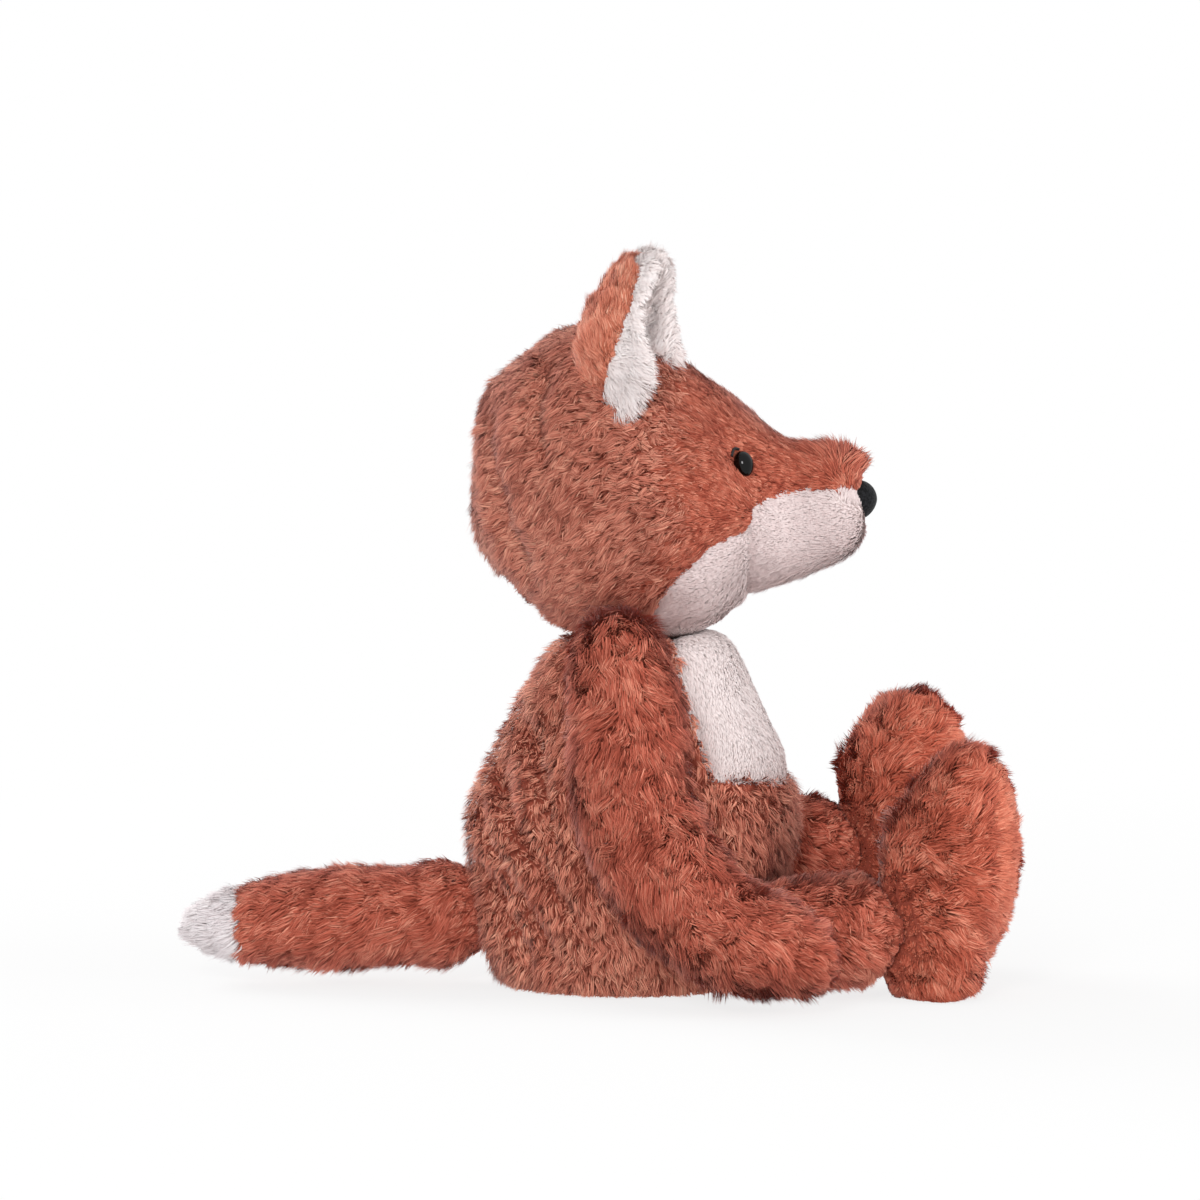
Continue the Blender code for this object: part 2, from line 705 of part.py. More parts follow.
def ear_sheet(name, side_name, inset, edge_share, wall, finish):
    """A cupped ear sheet, open forward, given its wall on the inner side."""
    side = SIDES[side_name]
    base = Vector((EAR_LENGTH_SHARE * HEAD_LENGTH - HEAD_BACK_REACH, side * EAR_SIDE_SHARE * HEAD_WIDTH,
                   HEAD_BASE + EAR_HEIGHT_SHARE * HEAD_HEIGHT))
    lean = Matrix.Rotation(-side * EAR_LEANS[side_name], 4, "X")
    turn = Matrix.Rotation(side * EAR_TURN, 4, "Z")
    place = Matrix.Translation(base) @ lean @ turn
    rise = EAR_HEIGHT + EAR_ROOT_DEPTH
    bm = bmesh.new()
    rows = []
    for up, width, depth, sweep in EAR_ROW_SHARES:
        row = []
        half = max(EAR_HALF_WIDTH * width - inset, inset)
        cup = max(EAR_CUP_DEPTH * depth - inset, inset)
        top = up * rise * (edge_share if up > EAR_TAPER_START_SHARE else 1.0)
        for step in range(EAR_COLUMNS + 1):
            angle = math.pi * (step / EAR_COLUMNS - 0.5) * edge_share
            point = Vector((sweep * EAR_CUP_DEPTH - cup * math.cos(angle), half * math.sin(angle),
                            top - EAR_ROOT_DEPTH))
            row.append(bm.verts.new(place @ point))
        rows.append(row)
    for lower, upper in zip(rows, rows[1:]):
        for step in range(EAR_COLUMNS):
            bm.faces.new((lower[step], lower[step + 1], upper[step + 1], upper[step]))
    bmesh.ops.recalc_face_normals(bm, faces=bm.faces)
    mesh = bpy.data.meshes.new(name)
    bm.to_mesh(mesh)
    bm.free()
    obj = bpy.data.objects.new(name, mesh)
    FOX.objects.link(obj)
    mesh.materials.append(finish)
    thickness = obj.modifiers.new("wall", "SOLIDIFY")
    thickness.thickness = wall
    thickness.offset = 0.0
    applied(obj)
    obj.data.shade_smooth()
    return obj


def build_ears(skin):
    """The backs and linings of both ears, cut by the head they are sewn to."""
    for side_name in SIDES:
        lining_inset = EAR_BACK_WALL / 2.0 + SEAM_GAP * 3.0 + EAR_LINING_WALL / 2.0
        back = ear_sheet(f"{side_name}_ear_back", side_name, 0.0, 1.0, EAR_BACK_WALL, RUST)
        lining = ear_sheet(f"{side_name}_ear_lining", side_name, lining_inset, EAR_LINING_EDGE_SHARE,
                           EAR_LINING_WALL, CREAM)
        boolean(back, skin)
        boolean(lining, skin)


def build_arms():
    """Both arms: a cover with its opening at the shoulder, and its filling."""
    for side_name, side in SIDES.items():
        shoulder, outward = arm_plane(side)
        flats = [(shoulder + outward * SEAT_GAP, -outward), FLOOR_FLAT]
        rings = arm_rings(side)
        cavity = form(f"{side_name}_arm_cavity", rings, ARM_SIDES, CUTTERS, -COVER_WALL, flats,
                      inner_level=OUTER_LEVEL)
        cover = form(f"{side_name}_arm_cover", rings, ARM_SIDES, FOX, 0.0, flats, RUST)
        opening = cylinder(f"{side_name}_arm_opening", shoulder - outward * SEAT_GAP,
                           shoulder + outward * COVER_WALL * 3.0, ARM_OPENING_RADIUS, CUTTERS)
        boolean(cover, cavity)
        boolean(cover, opening)
        form(f"{side_name}_arm_filling", rings, ARM_SIDES, FOX, -FILLING_INSET, flats, FIBRE,
             OUTER_LEVEL)
        add_pivot(f"{side_name}_shoulder", shoulder, (f"{side_name}_arm_cover",
                                                      f"{side_name}_arm_filling"))


def build_legs():
    """Both legs and feet: covers, soles and fillings."""
    for side_name in SIDES:
        legs = leg_rings(side_name)
        feet = foot_rings(side_name)
        flats = [FLOOR_FLAT]
        foot_skin = form(f"{side_name}_foot_skin", feet, FOOT_SIDES, CUTTERS, SEAM_GAP, flats)
        foot_cavity = form(f"{side_name}_foot_cavity", feet, FOOT_SIDES, CUTTERS, -COVER_WALL, flats)
        leg_cavity = form(f"{side_name}_leg_cavity", legs, LEG_SIDES, CUTTERS, -COVER_WALL)
        leg_cover = form(f"{side_name}_leg_cover", legs, LEG_SIDES, FOX, 0.0, (), RUST)
        boolean(leg_cover, leg_cavity)
        boolean(leg_cover, foot_skin)
        leg_filling = form(f"{side_name}_leg_filling", legs, LEG_SIDES, FOX, -FILLING_INSET, (), FIBRE)
        boolean(leg_filling, foot_skin)

        heel = hip(side_name) + (FORWARD * LEG_LENGTH + UP * LEG_RISE) / 2.0
        ankle = hip(side_name) + FORWARD * LEG_LENGTH + UP * LEG_RISE
        opening = cylinder(f"{side_name}_ankle_opening", heel, ankle,
                           LEG_THICKNESS / 2.0 * LEG_OPENING_SHARE, CUTTERS)
        seam_x = hip(side_name).x + LEG_LENGTH + SOLE_SEAM_SHARE * FOOT_DEPTH / 2.0
        foot_cover = form(f"{side_name}_foot_cover", feet, FOOT_SIDES, FOX, 0.0, flats, RUST)
        sole = form(f"{side_name}_sole", feet, FOOT_SIDES, FOX, 0.0, flats, SOLE_RUST)
        boolean(foot_cover, foot_cavity)
        boolean(sole, foot_cavity)
        boolean(foot_cover, opening)
        boolean(foot_cover, sole_block(f"{side_name}_sole_seam", seam_x - SEAM_GAP))
        boolean(sole, sole_block(f"{side_name}_sole_block", seam_x), "INTERSECT")
        form(f"{side_name}_foot_filling", feet, FOOT_SIDES, FOX, -FILLING_INSET, flats, FIBRE)
        moving = (f"{side_name}_leg_cover", f"{side_name}_foot_cover", f"{side_name}_sole",
                  f"{side_name}_leg_filling", f"{side_name}_foot_filling")
        add_pivot(f"{side_name}_hip", hip(side_name), moving)


def sole_block(name, seam_x):
    """The block in front of a foot's sole seam."""
    low = -OVERRUN
    high = TORSO_HEIGHT + FOOT_HEIGHT
    outline = ((seam_x, low), (seam_x + FOOT_DEPTH, low), (seam_x + FOOT_DEPTH, high), (seam_x, high))
    return prism(name, outline, -TORSO_WIDTH, TORSO_WIDTH, CUTTERS)


def build_tail():
    """The tail's cover, its pale tip and its filling."""
    rings = tail_rings()
    root = tail_root()
    cavity = form("tail_cavity", rings, TAIL_SIDES, CUTTERS, -COVER_WALL)
    opening = cylinder("tail_opening", root + FORWARD * OVERRUN, root, TAIL_OPENING_RADIUS, CUTTERS)
    cover = form("tail_cover", rings, TAIL_SIDES, FOX, 0.0, (), RUST)
    tip = form("tail_tip", rings, TAIL_SIDES, FOX, 0.0, (), TIP_WHITE)
    for panel in (cover, tip):
        boolean(panel, cavity)
    boolean(cover, opening)
    seam_x = root.x - TAIL_TIP_SHARE * TAIL_LENGTH
    boolean(cover, tip_block("tip_seam", seam_x + SEAM_GAP))
    boolean(tip, tip_block("tip_block", seam_x), "INTERSECT")
    form("tail_filling", rings, TAIL_SIDES, FOX, -FILLING_INSET, (), FIBRE)
    add_pivot("tail_pivot", root, ("tail_cover", "tail_tip", "tail_filling"))


def tip_block(name, seam_x):
    """The block behind the seam of the tail's tip."""
    far = seam_x - TAIL_LENGTH
    low = -TAIL_THICKNESS
    high = TAIL_ROOT_HEIGHT + TAIL_THICKNESS
    outline = ((far, low), (seam_x, low), (seam_x, high), (far, high))
    return prism(name, outline, -TORSO_WIDTH, TORSO_WIDTH, CUTTERS)


def add_pivot(name, point, part_names):
    """An empty on a joint's axis that carries the pieces which move together."""
    pivot = bpy.data.objects.new(name, None)
    pivot.location = point
    pivot.empty_display_size = EYE_HEIGHT
    FOX.objects.link(pivot)
    for part_name in part_names:
        part = bpy.data.objects[part_name]
        part.parent = pivot
        part.matrix_parent_inverse = Matrix.Translation(-point)


for leftover in list(bpy.data.objects):
    bpy.data.objects.remove(leftover, do_unlink=True)

FOX = collection("plush_fox")
CUTTERS = collection("cutters")
RUST = material("rust_plush", (0.52, 0.13, 0.065), 0.95)
SOLE_RUST = material("sole_plush", (0.60, 0.19, 0.10), 0.95)
CREAM = material("cream_plush", (0.78, 0.68, 0.64), 0.95)
TIP_WHITE = material("tail_tip_plush", (0.73, 0.66, 0.67), 0.95)
FIBRE = material("fibre_filling", (0.85, 0.85, 0.83), 1.0)
PELLETS = material("pellet_bag", (0.70, 0.70, 0.66), 0.9)
NOSE_BLACK = material("nose_black", (0.010, 0.010, 0.011), 0.8)
EYE_BLACK = material("eye_black", (0.004, 0.004, 0.004), 0.06)
NYLON = material("washer_nylon", (0.80, 0.80, 0.78), 0.5)

build_torso()
build_head()
build_arms()
build_legs()
build_tail()
neck_parts = [part.name for part in FOX.objects if part.type == "MESH" and not part.parent
              and part.name.startswith(("head", "jaw", "nose", "right_e", "left_e"))]
add_pivot("neck_pivot", Vector((neck_forward(), 0.0, NECK_HEIGHT)), neck_parts)
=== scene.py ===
"""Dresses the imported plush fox: stuffed skins, pile, eyes, nose, stitching, studio and camera.

The fox faces +X, its left side is +Y and its seat rests on z = 0. Lengths are in metres. Each
stuffed form is a Skin, fused from the CAD solids that it stands for and shaped in numpy. Pile
grows from it as small tapering blades, coloured along their own UV map.
"""

import logging
import math
from dataclasses import dataclass
from enum import Enum
from typing import Callable, Sequence

import bmesh
import bpy
import numpy as np
from bpy.types import Material, NodeSocket, Object, World
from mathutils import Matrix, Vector
from mathutils.bvhtree import BVHTree
from mathutils.kdtree import KDTree

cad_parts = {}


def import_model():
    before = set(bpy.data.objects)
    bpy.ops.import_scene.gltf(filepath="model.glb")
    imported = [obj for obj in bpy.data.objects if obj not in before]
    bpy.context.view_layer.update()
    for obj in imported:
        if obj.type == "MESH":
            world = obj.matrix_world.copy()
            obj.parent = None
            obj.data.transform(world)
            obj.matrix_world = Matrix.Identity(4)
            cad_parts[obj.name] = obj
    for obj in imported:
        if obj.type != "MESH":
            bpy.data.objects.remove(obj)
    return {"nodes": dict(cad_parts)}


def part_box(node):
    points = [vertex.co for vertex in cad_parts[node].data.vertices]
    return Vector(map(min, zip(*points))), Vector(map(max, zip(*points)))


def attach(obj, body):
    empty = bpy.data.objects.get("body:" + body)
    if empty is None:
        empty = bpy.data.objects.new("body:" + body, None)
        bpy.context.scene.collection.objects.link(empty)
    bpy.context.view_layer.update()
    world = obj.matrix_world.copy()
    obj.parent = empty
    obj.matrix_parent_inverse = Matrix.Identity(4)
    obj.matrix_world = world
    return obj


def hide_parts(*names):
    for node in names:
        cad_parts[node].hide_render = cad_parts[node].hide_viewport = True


LOG = logging.getLogger("plush_fox")
Array = np.ndarray
Colour = tuple[int, int, int]
Field = Callable[[Array, Array], Array]
SIDES = {"right": -1.0, "left": 1.0}
AHEAD = np.array((1.0, 0.0, 0.0))
UP = np.array((0.0, 0.0, 1.0))
WHITE = (1.0, 1.0, 1.0, 1.0)
PILE_UV = "OFBake"


# ---------------- shading


class Value:
    """A number socket on which arithmetic adds Math nodes."""

    def __init__(self, graph: "Graph", socket: NodeSocket | None) -> None:
        """Keep the graph and the socket."""
        self.graph = graph
        self.socket = socket

    def sibling(self, name: int | str) -> "Value":
        """Another output of the same node."""
        return Value(self.graph, self.socket.node.outputs[name])

    def _math(self, operation: str, *terms: "Value | float") -> "Value":
        """Add a Math node over the terms."""
        return self.graph.node("ShaderNodeMath", {"operation": operation}, *terms)

    def __add__(self, other: "Value | float") -> "Value":
        """Sum."""
        return self._math("ADD", self, other)

    def __sub__(self, other: "Value | float") -> "Value":
        """Difference."""
        return self._math("SUBTRACT", self, other)

    def __rsub__(self, other: float) -> "Value":
        """Reflected difference."""
        return self._math("SUBTRACT", other, self)

    def __mul__(self, other: "Value | float") -> "Value":
        """Product."""
        return self._math("MULTIPLY", self, other)

    def clamped(self) -> "Value":
        """The value kept between 0 and 1."""
        return self._math("MINIMUM", self._math("MAXIMUM", self, 0.0), 1.0)


class Graph:
    """The node tree of one material or world."""

    def __init__(self, owner: Material | World) -> None:
        """Empty the tree of a material or world and start afresh."""
        owner.use_nodes = True
        self.owner = owner
        self.tree = owner.node_tree
        self.tree.nodes.clear()

    def node(self, kind: str, settings: dict[str, object] | None = None, *values: object,
             out: int | str = 0, **named: object) -> Value:
        """Add a node, set it up and fill its sockets.

        Args:
            kind: The node's type.
            settings: Properties to set first.
            values: Values or links for the first sockets, in order.
            out: The output to hand back.
            named: Values or links by socket name, with _ for a space.

        Returns:
            The chosen output.
        """
        made = self.tree.nodes.new(kind)
        for key, setting in (settings or {}).items():
            setattr(made, key, setting)
        for index, value in enumerate(values):
            self.fill(made.inputs[index], value)
        for key, value in named.items():
            self.fill(made.inputs[key.replace("_", " ")], value)
        return Value(self, made.outputs[out] if made.outputs else None)

    def fill(self, socket: NodeSocket, value: object) -> None:
        """Link or set one socket."""
        if isinstance(value, Value):
            self.tree.links.new(value.socket, socket)
        else:
            socket.default_value = value

    def ramp(self, factor: Value, *stops: tuple[float, tuple[float, ...]]) -> Value:
        """Blend colours over a factor.

        Args:
            factor: What the ramp follows.
            stops: The places, from 0 to 1, and their linear colours.

        Returns:
            The colour.
        """
        made = self.node("ShaderNodeValToRGB", None, factor)
        elements = made.socket.node.color_ramp.elements
        while len(elements) < len(stops):
            elements.new(0.5)
        for element, (place, colour) in zip(elements, stops):
            element.position = place
            element.color = colour
        return made

    def relief(self, height: Value, strength: float, distance: float) -> Value:
        """A bumped normal."""
        return self.node("ShaderNodeBump", None, Strength=strength, Distance=distance,
                         Height=height)

    def surface(self, **looks: object) -> Material:
        """Close a material with a Principled shader of the given looks, and hand it back."""
        shader = self.node("ShaderNodeBsdfPrincipled", None, **looks)
        self.node("ShaderNodeOutputMaterial", None, shader)
        return self.owner


def srgb(colour: Colour) -> tuple[float, ...]:
    """A screen colour, 0 to 255 a channel, made linear and opaque."""
    shares = [level / 255.0 for level in colour]
    return (*(share / 12.92 if share <= 0.04045 else ((share + 0.055) / 1.055) ** 2.4
              for share in shares), 1.0)


@dataclass(frozen=True)
class PileFinish:
    """Plush pile, each blade running from a dark root to a pale tip, the darker root being painted
    shade deep in the pile.
    """

    name: str
    dark: Colour
    middle: Colour
    light: Colour
    root_painted_shade: float
    sheen: float = 0.18

    def build(self) -> Material:
        """Make the material.

        Returns:
            The material, which reads the pile's own UV map.
        """
        graph = Graph(bpy.data.materials.new(self.name))
        place = graph.node("ShaderNodeUVMap", {"uv_map": PILE_UV})
        across = graph.node("ShaderNodeSeparateXYZ", None, place)
        tint = graph.ramp(across, (0.10, srgb(self.dark)), (0.50, srgb(self.middle)),
                          (0.92, srgb(self.light)))
        # painted shade: each blade darkens toward its root, where the pile lies deep
        root = (self.root_painted_shade, self.root_painted_shade * 0.94, self.root_painted_shade * 0.92, 1.0)
        depth = graph.ramp(across.sibling(1), (0.0, root), (0.55, (0.93, 0.92, 0.91, 1.0)),
                           (1.0, WHITE))
        colour = graph.node("ShaderNodeMix", {"data_type": "RGBA", "blend_type": "MULTIPLY"}, 1.0,
                            out=2)
        for socket, value in ((6, tint), (7, depth)):
            graph.fill(colour.socket.node.inputs[socket], value)
        return graph.surface(Base_Color=colour, Roughness=0.85, Specular_IOR_Level=0.15,
                             Sheen_Weight=self.sheen, Sheen_Roughness=0.5)


@dataclass(frozen=True)
class PatternFinish:
    """A finish between two colours, patterned on Object coordinates."""

    name: str
    dark: Colour
    light: Colour

    def build(self) -> Material:
        """Make the material."""
        graph = Graph(bpy.data.materials.new(self.name))
        place = graph.node("ShaderNodeTexCoord", None, out="Object")
        return graph.surface(**self._looks(graph, place))

    def _looks(self, graph: Graph, place: Value) -> dict[str, object]:
        """The shader's values over the Object coordinates."""
        raise NotImplementedError

    def _colours(self, graph: Graph, factor: Value, low: float, high: float) -> Value:
        """The dark colour up to low and the light one from high."""
        return graph.ramp(factor, (low, srgb(self.dark)), (high, srgb(self.light)))


@dataclass(frozen=True)
class BackingFinish(PatternFinish):
    """The knitted backing seen between tufts: mottled, matt and slightly rough."""

    grain: float = 420.0
    bump: float = 0.35

    def _looks(self, graph: Graph, place: Value) -> dict[str, object]:
        """A fine and a broad mottle."""
        fine, broad = (
            graph.node("ShaderNodeTexNoise", None, Vector=place, Scale=scale, Detail=detail)
            for scale, detail in ((self.grain, 3.0), (self.grain / 8.0, 2.0)))
        mottle = (fine * 0.6 + broad * 0.6 - 0.1).clamped()
        return {"Base_Color": self._colours(graph, mottle, 0.25, 0.75), "Roughness": 0.95,
                "Specular_IOR_Level": 0.1, "Normal": graph.relief(fine, self.bump, 0.0006)}


@dataclass(frozen=True)
class MouldedFinish(PatternFinish):
    """Moulded, flocked or twisted trim: one colour broken by a fine grain."""

    roughness: float
    grain: float
    bump: float
    specular: float = 0.5

    def _looks(self, graph: Graph, place: Value) -> dict[str, object]:
        """One grain for colour, roughness and relief."""
        grain = graph.node("ShaderNodeTexNoise", None, Vector=place, Scale=self.grain, Detail=4.0)
        return {"Base_Color": self._colours(graph, grain, 0.35, 0.70),
                "Roughness": (grain * 0.12 + (self.roughness - 0.06)).clamped(),
                "Normal": graph.relief(grain, self.bump, 0.0003),
                "Specular_IOR_Level": self.specular}


@dataclass(frozen=True)
class WovenFinish(PatternFinish):
    """Plain woven cloth, seen only when the fox is taken apart."""

    threads: float

    def _looks(self, graph: Graph, place: Value) -> dict[str, object]:
        """Warp and weft as crossed waves."""
        warp, weft = (graph.node("ShaderNodeTexWave", {"bands_direction": axis}, Vector=place,
                                 Scale=self.threads, Distortion=1.5, Detail=2.0, out="Fac")
                      for axis in "XY")
        weave = (warp * 0.5 + weft * 0.5).clamped()
        return {"Base_Color": self._colours(graph, weave, 0.2, 0.8), "Roughness": 0.9,
                "Normal": graph.relief(weave, 0.4, 0.0003)}


class Finish(Enum):
    """Every finish on the fox."""

    # the fifth value of a pile row darkens each blade's root as painted shade
    NUBBY = PileFinish("nubby_rust_pile", (146, 70, 54), (217, 131, 108), (248, 176, 148), 0.54)
    HEAD = PileFinish("head_rust_pile", (139, 66, 51), (205, 124, 103), (236, 167, 141), 0.54)
    TUFTY = PileFinish("tufty_rust_pile", (149, 65, 47), (208, 108, 86), (245, 164, 137), 0.57)
    ARM = PileFinish("arm_rust_pile", (139, 59, 43), (196, 99, 78), (234, 152, 126), 0.57)
    FOOT = PileFinish("foot_rust_pile", (142, 58, 40), (204, 102, 78), (242, 158, 130), 0.56)
    EAR = PileFinish("ear_rust_pile", (178, 90, 66), (232, 142, 114), (254, 196, 168), 0.66)
    FACE = PileFinish("short_face_pile", (141, 59, 44), (192, 99, 77), (228, 148, 122), 0.62)
    SOLE = PileFinish("sole_pile", (172, 78, 58), (222, 124, 97), (248, 168, 140), 0.64)
    CREAM = PileFinish("cream_pile", (246, 233, 231), (251, 242, 241), (255, 252, 252), 0.97, 0.1)
    # painted shade: a darker, pinker copy of the cream, for the jaw that lies in shadow
    JAW = PileFinish("jaw_shaded_cream_pile", (227, 206, 205), (236, 219, 218), (246, 235, 234), 0.97, 0.1)
    BIB = PileFinish("bib_cream_pile", (234, 221, 220), (241, 229, 228), (249, 242, 242), 0.97, 0.1)
    TIP = PileFinish("tail_tip_pile", (226, 212, 214), (246, 238, 240), (254, 250, 251), 0.86)
    # painted shade: the rust backing is darker than the rust pile so that the gaps between tufts
    # read as shade
    RUST_BACKING = BackingFinish("shaded_rust_backing", (140, 66, 52), (172, 90, 72))
    CREAM_BACKING = BackingFinish("cream_backing", (244, 231, 228), (252, 243, 241))
    TIP_BACKING = BackingFinish("tip_backing", (220, 210, 214), (238, 231, 234))
    EYE = MouldedFinish("polished_eye", (1, 1, 1), (3, 3, 3), 0.05, 60.0, 0.0, 0.24)
    NOSE = MouldedFinish("flocked_nose", (5, 5, 6), (38, 38, 41), 0.56, 1300.0, 1.0, 0.12)
    LASH = MouldedFinish("lash_thread", (8, 7, 7), (24, 21, 21), 0.6, 1800.0, 0.7)
    NYLON = MouldedFinish("washer_nylon_finish", (212, 212, 208), (232, 232, 228), 0.45, 500.0, 0.2)
    PELLETS = WovenFinish("pellet_bag_cloth", (176, 174, 166), (214, 212, 204), 420.0)

    @property
    def material(self) -> Material:
        """The finish's material, made once."""
        return bpy.data.materials.get(self.value.name) or self.value.build()


# ---------------- numbers and shares


def unit(rows: Array) -> Array:
    """Rows scaled to length 1."""
    return rows / np.maximum(np.linalg.norm(rows, axis=1, keepdims=True), 1e-9)


def rise(values: Array, low: float, high: float) -> Array:
    """A smooth rise from 0 at low to 1 at high."""
    share = np.clip((values - low) / (high - low), 0.0, 1.0)
    return share * share * (3.0 - 2.0 * share)


def fall(values: Array, low: float, high: float) -> Array:
    """A smooth fall from 1 at low to 0 at high."""
    return rise(-values, -high, -low)


def bell(away: Array, width: float) -> Array:
    """1 at no distance, fading over a width."""
    return np.exp(-(away / width) ** 2)


def raised(share: Array, least: float) -> Array:
    """A share that starts from a least value, not from 0."""
    return share * (1.0 - least) + least


def ripple(points: Array, wavelength: float, seed: int, waves: int = 7) -> Array:
    """A smooth seeded noise, about -1 to 1.

    Args:
        points: Places, one a row.
        wavelength: The noise's size, in metres.
        seed: The seed.
        waves: How many waves are summed.

    Returns:
        One value for each place.
    """
    rng = np.random.default_rng(seed)
    total = np.zeros(len(points))
    for _ in range(waves):
        heading = rng.normal(size=3)
        heading /= np.linalg.norm(heading)
        pace = 2.0 * math.pi / (wavelength * rng.uniform(0.7, 1.5))
        total += np.sin(points @ heading * pace + rng.uniform(0.0, 2.0 * math.pi))
    return total / math.sqrt(waves)


def swerve(points: Array, wavelength: float, amount: float, *seeds: int | None) -> Array:
    """Seeded wavering in x, y and z; None leaves one of them at 0."""
    return np.stack([np.zeros(len(points)) if seed is None
                     else ripple(points, wavelength, seed) * amount for seed in seeds], axis=1)


def tangent(direction: Array, normals: Array) -> Array:
    """Directions, one or one a row, laid into the surface as unit rows."""
    rows = np.broadcast_to(direction, normals.shape)
    return unit(rows - normals * np.sum(rows * normals, axis=1, keepdims=True))


def apart(points: Array, centre: Sequence[float]) -> Array:
    """How far points lie from one place."""
    return np.linalg.norm(points - np.array(centre), axis=1)


def groove(points: Array, lines: Sequence[Sequence[tuple[float, float]]], width: float) -> Array:
    """How deep points lie in creases drawn as lines over the side view, from 0 to 1.

    Args:
        points: Places, one a row.
        lines: Creases, each through some (x, z) places.
        width: The creases' half width.

    Returns:
        A share for each point, fading at the creases' ends.
    """
    deepest = np.zeros(len(points))
    for line in lines:
        steps = np.array(line)
        for number, (start, end) in enumerate(zip(steps[:-1], steps[1:])):
            run = end - start
            share = np.clip((points[:, (0, 2)] - start) @ run / (run @ run), 0.0, 1.0)
            away = np.linalg.norm(points[:, (0, 2)] - start - share[:, None] * run, axis=1)
            place = (number + share) / (len(steps) - 1)
            fade = rise(place, -0.02, 0.2) * fall(place, 0.8, 1.02)
            deepest = np.maximum(deepest, fade * bell(away, width))
    return deepest


# ---------------- Blender objects and CAD nodes


def triples(items: bpy.types.bpy_prop_collection, name: str, kind: type = float) -> Array:
    """A mesh property of three numbers, one item a row."""
    values = np.empty(len(items) * 3, dtype=kind)
    items.foreach_get(name, values)
    return values.reshape(-1, 3)


def add_object(name: str, data: bpy.types.ID) -> Object:
    """A new object in the scene."""
    made = bpy.data.objects.new(name, data)
    bpy.context.scene.collection.objects.link(made)
    return made


def only(obj: Object) -> None:
    """Select one object alone and make it active."""
    bpy.ops.object.select_all(action="DESELECT")
    obj.select_set(True)
    bpy.context.view_layer.objects.active = obj


def apply_modifier(obj: Object, kind: str, **settings: object) -> None:
    """Add a modifier, set it and apply it.

    Args:
        obj: The object.
        kind: The modifier's type.
        settings: Its properties.
    """
    only(obj)
    modifier = obj.modifiers.new(kind.lower(), kind)
    for key, value in settings.items():
        setattr(modifier, key, value)
    bpy.ops.object.modifier_apply(modifier=modifier.name)


def both(*parts: str) -> list[str]:
    """The CAD nodes of some parts on the right and on the left."""
    return [f"{side}_{part}" for side in SIDES for part in parts]


def middle_of(node: str) -> Vector:
    """The centre of a CAD node's box."""
    low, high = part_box(node)
    return (Vector(low) + Vector(high)) / 2.0


def eye_line(side: str) -> tuple[Vector, Vector]:
    """An eye's outermost point and the way that it faces, read from its CAD node."""
    washer = middle_of(f"{side}_eye_washer")
    crown = max((vertex.co for vertex in bpy.data.objects[f"{side}_eye"].data.vertices),
                key=lambda point: (point - washer).length)
    return crown.copy(), (crown - washer).normalized()


def cad_tree(*nodes: str) -> BVHTree:
    """A search tree over some CAD nodes' surfaces."""
    points: list[Vector] = []
    faces: list[tuple[int, ...]] = []
    for node in nodes:
        mesh = bpy.data.objects[node].data
        first = len(points)
        points.extend(vertex.co.copy() for vertex in mesh.vertices)
        faces.extend(tuple(first + index for index in face.vertices) for face in mesh.polygons)
    return BVHTree.FromPolygons(points, faces)


def distances(points: Array, *nodes: str) -> Array:
    """Each point's distance from some CAD nodes' surfaces."""
    tree = cad_tree(*nodes)
    return np.array([tree.find_nearest(Vector(point))[3] for point in points])


# ---------------- stuffed skins


